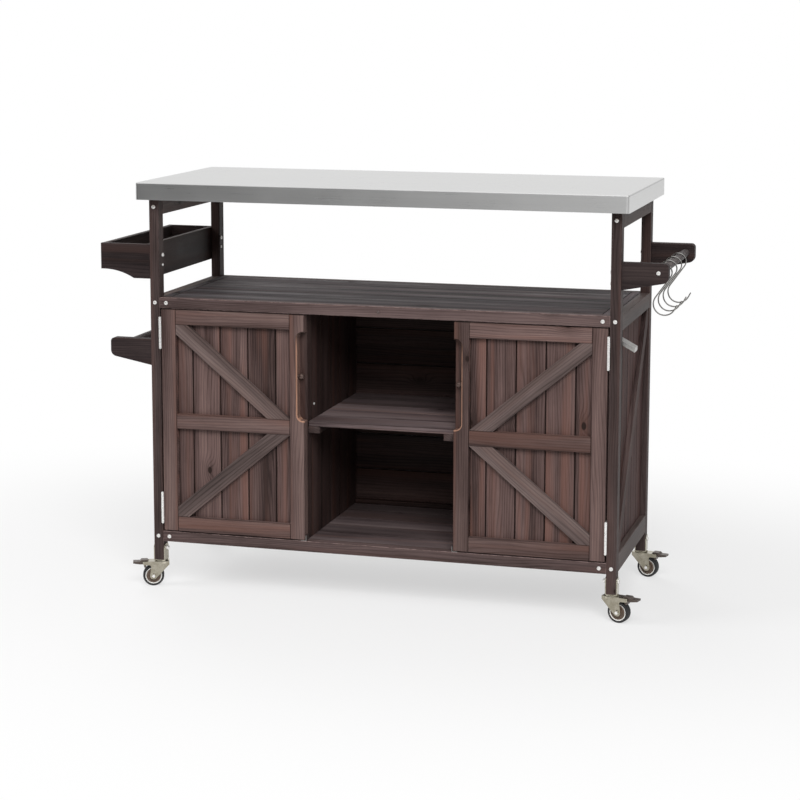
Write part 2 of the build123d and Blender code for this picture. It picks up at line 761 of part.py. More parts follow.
# Bolts and screws
head = (bolt_head_radius, bolt_head_height)
pieces["frame_bolts"] = merged(
    placed(dome_bolt(bolt_radius, *head, post_bolt_length), post_bolts),
    placed(dome_bolt(bolt_radius, *head, rail_bolt_length), rail_bolts),
)
arm_bolt_length = post_width + bolt_bite
pieces["rack_bolts"] = merged(
    placed(dome_bolt(bolt_radius, *head, rack_bolt_length), rack_bolts),
    placed(dome_bolt(bolt_radius, *head, arm_bolt_length), hook_arm_bolts),
    placed(dome_bolt(bolt_radius, *head, arm_bolt_length), towel_arm_bolts),
    placed(dome_bolt(bolt_radius, *head, rod_bolt_length), hook_rod_bolts),
)
small_head = (screw_head_radius, screw_head_height)
pieces["small_screws"] = merged(
    placed(dome_bolt(screw_radius, *small_head, rack_bolt_length), rack_screws),
    placed(dome_bolt(screw_radius, *small_head, screw_bite), partition_screws + [rail_screw]),
    placed(dome_bolt(screw_radius, *small_head, opener_sheet + screw_bite), opener_screws),
)

# Caster saddles, each with the race and kingpin that carry its fork
with BuildPart() as saddle:
    with Locations((0, 0, saddle_base)):
        Box(saddle_grip, saddle_width, saddle_sheet + ear_height, align=BASE)
    fillet(saddle.edges().filter_by(Axis.X).group_by(Axis.Z)[-1], ear_round)
    chamfer(saddle.edges().filter_by(Axis.Y).group_by(Axis.Z)[0], saddle_sheet / 2)
    with Locations((0, 0, leg_z)):
        Box(post_width, saddle_width, ear_height, align=BASE, mode=Mode.SUBTRACT)
    with Locations((0, 0, saddle_base - race_height)):
        Cylinder(race_radius, race_height, align=BASE)
    rivet_low = crown_under - crown_gap - rivet_height
    with Locations((0, 0, rivet_low)):
        Cylinder(kingpin_radius, saddle_base - rivet_low, align=BASE)
        Cylinder(rivet_radius, rivet_height, align=BASE)
    bolt_through = Plane(origin=(-saddle_grip / 2, 0, saddle_bolt_z), z_dir=(1, 0, 0))
    drill(saddle_bolt_radius + bolt_play, saddle_grip, [bolt_through])
pieces["caster_saddles"] = placed(saddle.part, [Plane((x * post_x, y * post_y, 0)) for x, y in corners])

with BuildPart() as saddle_nut:
    with Locations((0, 0, saddle_grip)):
        Cylinder(saddle_nut_radius, saddle_nut_height, align=BASE)
    fillet(saddle_nut.edges().sort_by(Axis.Z)[-1], saddle_nut_height / 2)
    thread_length = saddle_grip + saddle_nut_height - saddle_sheet
    Cylinder(saddle_bolt_radius + bolt_play, thread_length + bolt_play, align=BASE, mode=Mode.SUBTRACT)
saddle_bolt = dome_bolt(saddle_bolt_radius, saddle_nut_radius, bolt_head_height, thread_length)
pieces["saddle_bolts"] = merged(placed(saddle_bolt, saddle_bolts), placed(saddle_nut.part, saddle_bolts))

# Caster fork, wheel and pedal, drawn with the wheel trailing along +X
with BuildPart() as fork:
    with BuildSketch(Plane.XZ) as cheek:
        with Locations((trail, wheel_radius)):
            Circle(cheek_boss)
        cheek_from, cheek_to = -cheek_front, pivot_x + cheek_edge
        with Locations((cheek_from, fork_top)):
            Rectangle(cheek_rear - cheek_from, crown_thickness + cheek_skirt, align=(Align.MIN, Align.MAX))
        make_hull()
        flange_low = pivot_z - cheek_edge
        with Locations((0, flange_low)):
            Rectangle(cheek_to, fork_top - flange_low, align=(Align.MIN, Align.MIN))
        flange_corners = cheek.vertices().filter_by_position(
            Axis.Y, flange_low - running_fit, flange_low + running_fit
        )
        fillet(flange_corners, cheek_round)
    extrude(amount=fork_y, both=True)
    below = fork_top - crown_thickness
    with Locations(((cheek_from + cheek_to) / 2, 0, below)):
        hollow = (cheek_to - cheek_from, 2 * cheek_y, below)
        Box(*hollow, align=(Align.CENTER, Align.CENTER, Align.MAX), mode=Mode.SUBTRACT)
    crown_rear = pivot_x - crown_to_pivot
    slot_length = cheek_to - crown_rear
    with Locations((crown_rear + slot_length / 2, 0, below)):
        Box(slot_length, 2 * cheek_y, crown_thickness, align=BASE, mode=Mode.SUBTRACT)
    with Locations((0, 0, below)):
        Cylinder(crown_radius, crown_thickness, align=BASE)
        Cylinder(kingpin_radius + running_fit, crown_thickness, align=BASE, mode=Mode.SUBTRACT)
    cross = [Plane(origin=(trail, -fork_y, wheel_radius), z_dir=(0, 1, 0))]
    pivot = [Plane(origin=(pivot_x, -fork_y, pivot_z), z_dir=(0, 1, 0))]
    drill(axle_radius + running_fit, 2 * fork_y, cross)
    drill(pivot_radius + running_fit, 2 * fork_y, pivot)


def headed_pin(radius, head_radius, head_height):
    """A pin along +Z through the whole fork, with a head just clear of each cheek."""
    with BuildPart() as pin:
        with Locations((0, 0, -running_fit - head_height)):
            Cylinder(radius, 2 * (fork_y + running_fit + head_height), align=BASE)
            Cylinder(head_radius, head_height, align=BASE)
        with Locations((0, 0, 2 * fork_y + running_fit)):
            Cylinder(head_radius, head_height, align=BASE)
    return pin.part


axle = headed_pin(axle_radius, axle_head_radius, axle_head_height)
pedal_pin = headed_pin(pivot_radius, pivot_head_radius, pivot_head_height)
fork_set = merged(fork.part, placed(axle, cross), placed(pedal_pin, pivot))

with BuildPart(Plane(origin=(trail, 0, wheel_radius), z_dir=(0, 1, 0))) as tyre:
    Cylinder(wheel_radius, wheel_width)
    fillet(tyre.edges(), tyre_round)
    Cylinder(wheel_radius - tyre_wall, wheel_width, mode=Mode.SUBTRACT)
with BuildPart(Plane(origin=(trail, 0, wheel_radius), z_dir=(0, 1, 0))) as hub:
    Cylinder(wheel_radius - tyre_wall - hub_fit, wheel_width - 2 * hub_inset)
    Cylinder(axle_radius + running_fit, wheel_width, mode=Mode.SUBTRACT)
wheel_set = merged(tyre.part, hub.part)

tyre_rise = sqrt(wheel_radius**2 - pivot_behind_axle**2)
tongue = pivot_z - wheel_radius - tyre_rise - brake_gap
boss = pivot_radius + pivot_wall
with BuildPart() as pedal:
    with BuildSketch(Plane.XZ):
        with Locations((pivot_x, pivot_z)):
            Polygon(
                (-tongue_width / 2, -tongue),
                (tongue_width / 2, -tongue),
                (boss, -boss),
                (pedal_step, -boss),
                (pedal_reach, -pedal_lip_low),
                (pedal_reach, pedal_lip_high),
                (pedal_step, pedal_lip_high),
                (pedal_step - boss, pedal_pad_rise),
                (pedal_gap - crown_to_pivot, pedal_pad_rise),
                (pedal_gap - crown_to_pivot, 0),
                (-boss, -boss),
                align=None,
            )
    extrude(amount=pedal_width / 2, both=True)
    drill(pivot_radius + running_fit, 2 * fork_y, pivot)

signs = {"left": -1, "right": 1, "front": -1, "rear": 1}
for corner, angle in caster_turns.items():
    depth_name, side_name = corner.split("_")
    centre = (signs[side_name] * post_x, signs[depth_name] * post_y, 0)
    stand = [Plane(origin=centre, x_dir=(cos(radians(angle)), sin(radians(angle)), 0), z_dir=(0, 0, 1))]
    pieces[f"{corner}_fork"] = placed(fork_set, stand)
    pieces[f"{corner}_wheel"] = placed(wheel_set, stand)
    pieces[f"{corner}_pedal"] = placed(pedal.part, stand)

os.makedirs("parts", exist_ok=True)
for name, shape in pieces.items():
    shape.label = name
    export_step(shape, f"parts/{name}.step")
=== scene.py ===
"""Looks of an outdoor kitchen island: stained timber, steel worktop, wire hooks, braked casters."""

import json
import logging
import math
from dataclasses import dataclass
from enum import Enum
from functools import partial, reduce
from typing import Any, NamedTuple

import bpy
import numpy as np
from mathutils import Matrix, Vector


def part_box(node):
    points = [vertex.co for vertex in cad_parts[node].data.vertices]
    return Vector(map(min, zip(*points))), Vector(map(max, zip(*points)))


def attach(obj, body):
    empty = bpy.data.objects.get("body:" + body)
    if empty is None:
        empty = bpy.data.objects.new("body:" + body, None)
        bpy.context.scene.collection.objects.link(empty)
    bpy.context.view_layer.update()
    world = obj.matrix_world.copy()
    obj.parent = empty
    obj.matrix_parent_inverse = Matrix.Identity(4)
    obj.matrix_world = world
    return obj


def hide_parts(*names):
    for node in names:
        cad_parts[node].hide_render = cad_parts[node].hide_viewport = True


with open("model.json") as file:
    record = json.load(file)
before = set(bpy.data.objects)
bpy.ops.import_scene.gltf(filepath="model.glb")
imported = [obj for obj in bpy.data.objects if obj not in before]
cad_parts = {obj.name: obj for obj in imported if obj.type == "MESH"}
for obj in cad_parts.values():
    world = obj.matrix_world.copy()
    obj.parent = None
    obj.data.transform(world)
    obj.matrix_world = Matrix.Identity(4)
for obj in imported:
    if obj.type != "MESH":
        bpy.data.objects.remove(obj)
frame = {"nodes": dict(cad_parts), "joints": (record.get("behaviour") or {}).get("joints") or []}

log = logging.getLogger("kitchen_island")

Socket = bpy.types.NodeSocket
Colour = tuple[float, float, float]
Feed = float | tuple[float, ...] | Socket
Span = tuple[float, float]


class Axis(Enum):
    """The three directions of the part: along its length, front to back, and up."""

    X = 0
    Y = 1
    Z = 2


class Side(Enum):
    """The viewer's left or right, with its sign along X."""

    LEFT = -1
    RIGHT = 1

    @property
    def word(self) -> str:
        """The side's name as the nodes spell it."""
        return self.name.lower()


class Cloud(NamedTuple):
    """A cloudy noise: its scale along each axis, its layers of detail and their roughness."""

    scale: tuple[float, float, float]
    detail: float = 2.0
    roughness: float = 0.5


class Graph:
    """A node tree, with short calls that add nodes to it and join them."""

    def __init__(self, tree: bpy.types.NodeTree) -> None:
        """Keeps the tree that the nodes go into."""
        self.tree = tree

    def feed(self, socket: Socket, value: Feed) -> None:
        """Links a socket to another one, or sets its own value.

        Args:
            socket: The input that is fed.
            value: A socket to link, or a number, vector or colour to set.
        """
        if isinstance(value, bpy.types.NodeSocket):
            self.tree.links.new(value, socket)
        elif socket.type == "RGBA":
            socket.default_value = (*value, 1.0)
        else:
            socket.default_value = value

    def add(
        self, kind: str, inputs: dict[int | str, Feed] | None = None, **settings: Any
    ) -> bpy.types.Node:
        """Adds one node.

        Args:
            kind: The node's type name.
            inputs: What feeds each of its inputs, by name or place.
            **settings: The node's own options.

        Returns:
            The new node.
        """
        node = self.tree.nodes.new(kind)
        for name, value in settings.items():
            setattr(node, name, value)
        for key, value in (inputs or {}).items():
            self.feed(node.inputs[key], value)
        return node

    def math(self, operation: str, *values: Feed) -> Socket:
        """One sum on numbers; returns its result."""
        return self.add("ShaderNodeMath", dict(enumerate(values)), operation=operation).outputs[0]

    def total(self, *terms: Feed) -> Socket:
        """Numbers added up."""
        return reduce(partial(self.math, "ADD"), terms)

    def times(self, *factors: Feed) -> Socket:
        """Numbers multiplied together."""
        return reduce(partial(self.math, "MULTIPLY"), factors)

    def most(self, *values: Feed) -> Socket:
        """The largest of several numbers."""
        return reduce(partial(self.math, "MAXIMUM"), values)

    def minus(self, first: Feed, second: Feed) -> Socket:
        """The first number less the second."""
        return self.math("SUBTRACT", first, second)

    def centred(self, value: Feed) -> Socket:
        """A number from 0 to 1 moved to lie evenly about 0."""
        return self.minus(value, 0.5)

    def weighed(self, values: dict[str, Feed], weights: dict[str, float]) -> list[Socket]:
        """Each named value multiplied by the weight of that name, in the weights' order."""
        return [self.times(values[name], weight) for name, weight in weights.items()]

    def vector(self, operation: str, *values: Feed) -> Socket:
        """One sum on vectors; returns the vector that it gives."""
        inputs = dict(enumerate(values))
        return self.add("ShaderNodeVectorMath", inputs, operation=operation).outputs[0]

    def length(self, vector: Feed) -> Socket:
        """The length of a vector."""
        return self.add("ShaderNodeVectorMath", {0: vector}, operation="LENGTH").outputs["Value"]

    def parts(self, vector: Feed) -> list[Socket]:
        """The three parts of a vector."""
        return list(self.add("ShaderNodeSeparateXYZ", {0: vector}).outputs)

    def joined(self, *values: Feed) -> Socket:
        """A vector from three numbers."""
        return self.add("ShaderNodeCombineXYZ", dict(enumerate(values))).outputs[0]

    def grey(self, value: Feed) -> Socket:
        """A vector or colour with one number in all three places."""
        return self.joined(value, value, value)

    def noise(self, vector: Feed, detail: float, roughness: float) -> Socket:
        """Cloudy noise from 0 to 1 at the scale that the vector already has."""
        inputs = {"Vector": vector, "Scale": 1.0, "Detail": detail, "Roughness": roughness}
        return self.add("ShaderNodeTexNoise", inputs).outputs[0]

    def cloud(self, vector: Feed, cloud: Cloud) -> Socket:
        """Cloudy noise from 0 to 1 at the cloud's own scale."""
        scaled = self.vector("MULTIPLY", vector, cloud.scale)
        return self.noise(scaled, cloud.detail, cloud.roughness)

    def span(self, value: Feed, span: Span) -> Socket:
        """A smooth step from 0 at the span's start to 1 at its end."""
        inputs = {"Value": value, "From Min": span[0], "From Max": span[1]}
        return self.add("ShaderNodeMapRange", inputs, interpolation_type="SMOOTHSTEP").outputs[0]

    def ranged(self, value: Feed, span: Span) -> Socket:
        """A number from 0 to 1 spread from the span's start to its end."""
        inputs = {"Value": value, "To Min": span[0], "To Max": span[1]}
        return self.add("ShaderNodeMapRange", inputs).outputs[0]

    def lerp(self, factor: Feed, first: Feed, second: Feed) -> Socket:
        """A number between two others."""
        inputs = {0: factor, 2: first, 3: second}
        return self.add("ShaderNodeMix", inputs, data_type="FLOAT").outputs[0]

    def mix(self, factor: Feed, first: Feed, second: Feed, blend: str = "MIX") -> Socket:
        """A colour between two others."""
        inputs = {0: factor, 6: first, 7: second}
        return self.add("ShaderNodeMix", inputs, data_type="RGBA", blend_type=blend).outputs[2]

    def ramp(self, factor: Feed, stops: list[tuple[float, Colour]]) -> Socket:
        """A colour read along a row of stops.

        Args:
            factor: The place along the row, 0 to 1.
            stops: Each stop's place and colour, in order.

        Returns:
            The colour at that place.
        """
        node = self.add("ShaderNodeValToRGB", {0: factor})
        row = node.color_ramp.elements
        while len(row) < len(stops):
            row.new(1.0)
        for element, (place, colour) in zip(row, stops):
            element.position = place
            element.color = (*colour, 1.0)
        return node.outputs[0]

    def place(self) -> Socket:
        """The surface point in the part's own frame, in metres."""
        return self.add("ShaderNodeTexCoord").outputs["Object"]


class ShaderGroup:
    """An effect that several finishes share, built once and placed in each with its own values."""

    title: str = ""
    inputs: dict[str, str] = {}
    outputs: dict[str, str] = {}

    def fill(self, graph: Graph, sources: Any) -> dict[str, Socket]:
        """Lays the effect's nodes.

        Args:
            graph: The group's graph.
            sources: The group's inputs, by name.

        Returns:
            The socket for each output.
        """
        raise NotImplementedError

    def tree(self) -> bpy.types.NodeTree:
        """Builds the group at its first use.

        Returns:
            The group's node tree.
        """
        known = bpy.data.node_groups.get(self.title)
        if known:
            return known
        tree = bpy.data.node_groups.new(self.title, "ShaderNodeTree")
        for way, sockets in (("INPUT", self.inputs), ("OUTPUT", self.outputs)):
            for name, kind in sockets.items():
                tree.interface.new_socket(name=name, in_out=way, socket_type=f"NodeSocket{kind}")
        graph = Graph(tree)
        results = self.fill(graph, graph.add("NodeGroupInput").outputs)
        graph.add("NodeGroupOutput", results)
        return tree

    def put(self, graph: Graph, values: dict[str, Feed]) -> Any:
        """Places the group in a material.

        Args:
            graph: The material's graph.
            values: What feeds each of the group's inputs.

        Returns:
            The group's outputs, by name.
        """
        return graph.add("ShaderNodeGroup", values, node_tree=self.tree()).outputs


class StainedGrain(ShaderGroup):
    """Softwood under a thin dark stain: ring lines that swell round knots, fibre and blotches."""

    title = "stained_grain"
    inputs = {"Across": "Float", "Depth": "Float", "Along": "Float", "Seed": "Vector"}
    outputs = {"Tone": "Float", "Warm": "Float", "Knot": "Float", "Relief": "Float"}

    seed_reach = (7.0, 5.0, 11.0)
    ring_pitch = 0.0062
    ring_lean = 0.6
    ring_wander = 10.0
    ring_swell = 2.5
    late_power = 3.0
    knot_cell = (0.085, 0.33)
    knot_squash = 0.6
    knot_share = 0.34
    knot_radius = (0.0022, 0.0062)
    knot_edge = (1.2, 0.7)
    knot_fall = -0.12

    wander = Cloud((13, 13, 1.7))
    fibre = Cloud((850, 850, 13), 3, 0.6)
    pores = Cloud((1500, 1500, 42), 1)
    pore_span = (0.60, 0.74)
    broad = Cloud((30, 30, 1.6))
    blotch = Cloud((11, 11, 5), 3, 0.6)
    warm = Cloud((38, 38, 1.5))
    warm_shift = (3.7, 1.9, 5.3)
    warm_span = (0.47, 0.70)

    middle_tone = 0.5
    tone_weights = {
        "broad": 1.5, "thread": 0.75, "blotch": 0.55, "late": -0.22, "swell": -0.30, "pores": -0.12,
    }
    relief_weights = {"fibre": 0.6, "late": -0.25, "pores": -0.5, "knot": -0.2}

    def fill(self, graph: Graph, sources: Any) -> dict[str, Socket]:
        """Shifts each board by its seed, then adds up ring lines, knots, fibre and stain blotches.

        Args:
            graph: The group's graph.
            sources: The place in the board, and the board's seed.

        Returns:
            The stain's tone, its warmth, the knots and the height.
        """
        seed = graph.parts(graph.vector("MULTIPLY", sources["Seed"], self.seed_reach))
        names = ("Across", "Depth", "Along")
        across, depth, along = (graph.total(sources[n], shift) for n, shift in zip(names, seed))
        spot = graph.joined(across, depth, along)
        knot, swell = self.knots(graph, across, along)
        fibre = graph.cloud(spot, self.fibre)
        marks = {
            "knot": knot,
            "swell": swell,
            "late": self.late_wood(graph, spot, swell),
            "fibre": fibre,
            "thread": graph.centred(fibre),
            "pores": graph.span(graph.cloud(spot, self.pores), self.pore_span),
            "broad": graph.centred(graph.cloud(spot, self.broad)),
            "blotch": graph.centred(graph.cloud(spot, self.blotch)),
        }
        aside = graph.vector("ADD", spot, self.warm_shift)
        return {
            "Tone": graph.total(self.middle_tone, *graph.weighed(marks, self.tone_weights)),
            "Warm": graph.span(graph.cloud(aside, self.warm), self.warm_span),
            "Knot": knot,
            "Relief": graph.total(*graph.weighed(marks, self.relief_weights)),
        }

    def late_wood(self, graph: Graph, spot: Socket, swell: Socket) -> Socket:
        """The thin dark lines of the rings: a sine over the rings' phase, sharpened by a power.

        Args:
            graph: The group's graph.
            spot: The place in the board.
            swell: The swelling of the grain round knots.

        Returns:
            1 in the middle of a line and 0 between lines.
        """
        across, depth, _ = graph.parts(spot)
        phase = graph.total(
            graph.times(across, 1 / self.ring_pitch),
            graph.times(depth, self.ring_lean / self.ring_pitch),
            graph.times(graph.centred(graph.cloud(spot, self.wander)), self.ring_wander),
            graph.times(swell, self.ring_swell),
        )
        wave = graph.math("SINE", graph.times(phase, 2 * math.pi))
        return graph.math("POWER", graph.math("MULTIPLY_ADD", wave, 0.5, 0.5), self.late_power)

    def knots(self, graph: Graph, across: Socket, along: Socket) -> tuple[Socket, Socket]:
        """Oval knots at the points of a scattered grid, kept in about a third of its cells.

        Args:
            graph: The group's graph.
            across: The place across the board.
            along: The place along the board.

        Returns:
            The knot's mask, and the swelling of the grain round it.
        """
        wide, tall = self.knot_cell
        column, level = (graph.math("DIVIDE", *pair) for pair in ((across, wide), (along, tall)))
        cell = graph.joined(column, level, 0.0)
        inputs = {"Vector": cell, "Scale": 1.0}
        scatter = graph.add("ShaderNodeTexVoronoi", inputs, voronoi_dimensions="2D").outputs
        away = graph.vector("SUBTRACT", cell, scatter["Position"])
        reach = graph.length(graph.vector("MULTIPLY", away, (wide, self.knot_squash * tall, 0.0)))
        chance, girth, _ = graph.parts(scatter["Color"])
        kept = graph.math("LESS_THAN", chance, self.knot_share)
        ratio = graph.math("DIVIDE", reach, graph.ranged(girth, self.knot_radius))
        fall = graph.math("EXPONENT", graph.times(graph.math("POWER", ratio, 2.0), self.knot_fall))
        return graph.times(kept, graph.span(ratio, self.knot_edge)), graph.times(kept, fall)


class EdgeRub(ShaderGroup):
    """Wear on eased edges, which lean between two axes; noise breaks the wear up."""

    title = "edge_rub"
    inputs = {"Normal": "Vector", "Place": "Vector", "Amount": "Float"}
    outputs = {"Mask": "Float", "Edge": "Float"}

    lean_span = (0.93, 0.80)
    patch = Cloud((60, 60, 60), 3, 0.65)
    patch_span = (0.36, 0.62)

    def fill(self, graph: Graph, sources: Any) -> dict[str, Socket]:
        """The normal's largest part falls under the lean span's start only on an eased edge.

        Args:
            graph: The group's graph.
            sources: The surface's direction and place, and the amount of wear.

        Returns:
            The worn share, and a mask of the edges themselves.
        """
        lean = graph.parts(graph.vector("ABSOLUTE", sources["Normal"]))
        patch = graph.span(graph.cloud(sources["Place"], self.patch), self.patch_span)
        edge = graph.span(graph.most(*lean), self.lean_span)
        return {"Mask": graph.times(edge, patch, sources["Amount"]), "Edge": edge}


class BrushedLines(ShaderGroup):
    """Fine lines left by a belt: noise stretched far along X, at two widths."""

    title = "brushed_lines"
    inputs = {"Place": "Vector"}
    outputs = {"Line": "Float", "Haze": "Float"}

    coarse = Cloud((2.2, 420, 420))
    fine = Cloud((9, 2100, 2100))
    fine_share = 0.5
    haze = Cloud((7, 9, 9), 3, 0.6)

    def fill(self, graph: Graph, sources: Any) -> dict[str, Socket]:
        """Mixes coarse and fine streaks, and adds a slow haze for handling marks.

        Args:
            graph: The group's graph.
            sources: The surface's place.

        Returns:
            The lines and the haze.
        """
        coarse, fine, haze = (
            graph.cloud(sources["Place"], cloud) for cloud in (self.coarse, self.fine, self.haze)
        )
        return {"Line": graph.lerp(self.fine_share, coarse, fine), "Haze": haze}


class Mottle(ShaderGroup):
    """Small uneven patches and specks of a plated, cast or moulded surface."""

    title = "mottle"
    inputs = {"Place": "Vector", "Grain": "Float"}
    outputs = {"Patch": "Float", "Speck": "Float"}

    patch_detail = 3
    patch_roughness = 0.6
    speck = Cloud((6, 6, 6), 1)
    speck_span = (0.60, 0.72)

    def fill(self, graph: Graph, sources: Any) -> dict[str, Socket]:
        """Patches at one grain and specks at a sixth of it.

        Args:
            graph: The group's graph.
            sources: The surface's place, and the grain's scale.

        Returns:
            The patches and the specks.
        """
        inputs = {0: sources["Place"], "Scale": sources["Grain"]}
        spot = graph.add("ShaderNodeVectorMath", inputs, operation="SCALE").outputs[0]
        patch = graph.noise(spot, self.patch_detail, self.patch_roughness)
        return {"Patch": patch, "Speck": graph.span(graph.cloud(spot, self.speck), self.speck_span)}


class GrainFrame(NamedTuple):
    """Where a point lies in its board, and the board's own seed."""

    across: Socket
    depth: Socket
    along: Socket
    seed: Socket


def board_seed(graph: Graph, first: Feed, second: Feed, number: float) -> Socket:
    """Three random numbers for a board, from its place in its row and a number for the node."""
    inputs = {"Vector": graph.joined(first, second, number)}
    return graph.add("ShaderNodeTexWhiteNoise", inputs, noise_dimensions="3D").outputs["Color"]


def cell_of(graph: Graph, value: Socket, pitch: float, start: float) -> Socket:
    """The number of the cell that a place falls in, in a row from start at an even pitch."""
    return graph.math("FLOOR", graph.math("DIVIDE", graph.minus(value, start), pitch))


@dataclass(frozen=True)
class Row:
    """A row of boards along an axis: the pitch and the place where the first begins."""

    axis: Axis
    pitch: float = 1.0
    start: float = 0.0


@dataclass(frozen=True)
class StraightLay:
    """Boards with their grain along one axis, told apart by their rows."""

    along: Axis
    across: Axis
    rows: tuple[Row, ...]
    number: float

    def grain(self, graph: Graph) -> GrainFrame:
        """Reads the board's own directions straight from the part's axes.

        Args:
            graph: The material's graph.

        Returns:
            The point's place in its board.
        """
        place = graph.parts(graph.place())
        along, across = self.along.value, self.across.value
        depth = sum(axis.value for axis in Axis) - along - across
        cells = [cell_of(graph, place[r.axis.value], r.pitch, r.start) for r in self.rows]
        first, second = (*cells, 0.0, 0.0)[:2]
        seed = board_seed(graph, first, second, self.number)
        return GrainFrame(place[across], place[depth], place[along], seed)


@dataclass(frozen=True)
class DoorFrameLay:
    """Stiles with upright grain and rails with level grain between them."""

    centre: float
    rail_half: float
    rail_pitch: float
    number: float

    rail_start = -1.0

    def grain(self, graph: Graph) -> GrainFrame:
        """A point nearer the door's middle than the stiles is on a rail.

        Args:
            graph: The material's graph.

        Returns:
            The point's place in its stile or rail.
        """
        x, y, z = graph.parts(graph.place())
        offset = graph.minus(x, self.centre)
        rail = graph.math("LESS_THAN", graph.math("ABSOLUTE", offset), self.rail_half)
        level = cell_of(graph, z, self.rail_pitch, self.rail_start)
        which = graph.lerp(rail, graph.math("SIGN", offset), level)
        seed = board_seed(graph, which, rail, self.number)
        return GrainFrame(graph.lerp(rail, x, z), y, graph.lerp(rail, z, x), seed)


@dataclass(frozen=True)
class DiagonalLay:
    """Braces that slope in an upright plane, with one slope below a height and one above it.

    A slope is 1 where the brace rises along the level axis and -1 where it falls.
    """

    level: Axis
    angle: float
    turn_height: float
    slope_below: float
    slope_above: float
    number: float

    def grain(self, graph: Graph) -> GrainFrame:
        """Turns the plane's two directions by the brace's angle.

        Args:
            graph: The material's graph.

        Returns:
            The point's place in its brace.
        """
        place = graph.parts(graph.place())
        level, z, depth = place[self.level.value], place[2], place[1 - self.level.value]
        upper = graph.math("GREATER_THAN", z, self.turn_height)
        slope = graph.lerp(upper, self.slope_below, self.slope_above)
        cos, sin = math.cos(self.angle), math.sin(self.angle)
        along = graph.total(graph.times(level, cos), graph.times(z, sin, slope))
        across = graph.minus(graph.times(z, cos), graph.times(level, sin, slope))
        seed = board_seed(graph, upper, graph.math("SIGN", depth), self.number)
        return GrainFrame(across, depth, along, seed)


Lay = StraightLay | DoorFrameLay | DiagonalLay


def new_material(name: str) -> tuple[bpy.types.Material, Graph, bpy.types.Node]:
    """An empty material with its surface shader.

    Args:
        name: The material's name.

    Returns:
        The material, its graph and its Principled shader.
    """
    material = bpy.data.materials.new(name)
    material.use_nodes = True
    material.node_tree.nodes.clear()
    graph = Graph(material.node_tree)
    shader = graph.add("ShaderNodeBsdfPrincipled")
    graph.add("ShaderNodeOutputMaterial", {"Surface": shader.outputs[0]})
    return material, graph, shader


def raise_surface(
    graph: Graph, shader: bpy.types.Node, height: Socket, strength: float, distance: float
) -> None:
    """Bends a shader's normal by a height.

    Args:
        graph: The material's graph.
        shader: The surface shader.
        height: The height, 0 to 1.
        strength: How much of it shows.
        distance: The size of a full step, in metres.
    """
    inputs = {"Height": height, "Strength": strength, "Distance": distance}
    graph.feed(shader.inputs["Normal"], graph.add("ShaderNodeBump", inputs).outputs[0])


@dataclass(frozen=True)
class FingerCut:
    """The finger cut in a door's inner stile: its reach, its two ends and the wear in it.

    The bare wood is edge wear; it fades out towards the upper end as painted shade, where the cut's
    top faces down, and is only a part of the full wear on inner faces.
    """

    reach: float = 0.1897
    low: float = 0.3980
    high: float = 0.6020
    fade: float = 0.045
    inner_wear: float = 0.25
    inner_lean: float = 0.5

    def mask(self, graph: Graph, normal: Socket, edge: Socket) -> Socket:
        """How bare the wood is: most on the eased edge, a little inside, none on the door's face,
        less towards the top as painted shade.

        Args:
            graph: The material's graph.
            normal: The surface's direction in the part's frame.
            edge: 1 on eased edges.

        Returns:
            The share of bare wood.
        """
        x, _, z = graph.parts(graph.place())
        near = graph.math("LESS_THAN", graph.math("ABSOLUTE", x), self.reach)
        lower = graph.math("GREATER_THAN", z, self.low)
        # Painted shade: the bare wood fades out over the top of the cut, whose edge faces down.
        upper = graph.span(z, (self.high, self.high - self.fade))
        facing_front = graph.math("ABSOLUTE", graph.parts(normal)[1])
        inside = graph.math("LESS_THAN", facing_front, self.inner_lean)
        wear = graph.most(edge, graph.times(inside, self.inner_wear))
        return graph.times(near, lower, upper, wear)


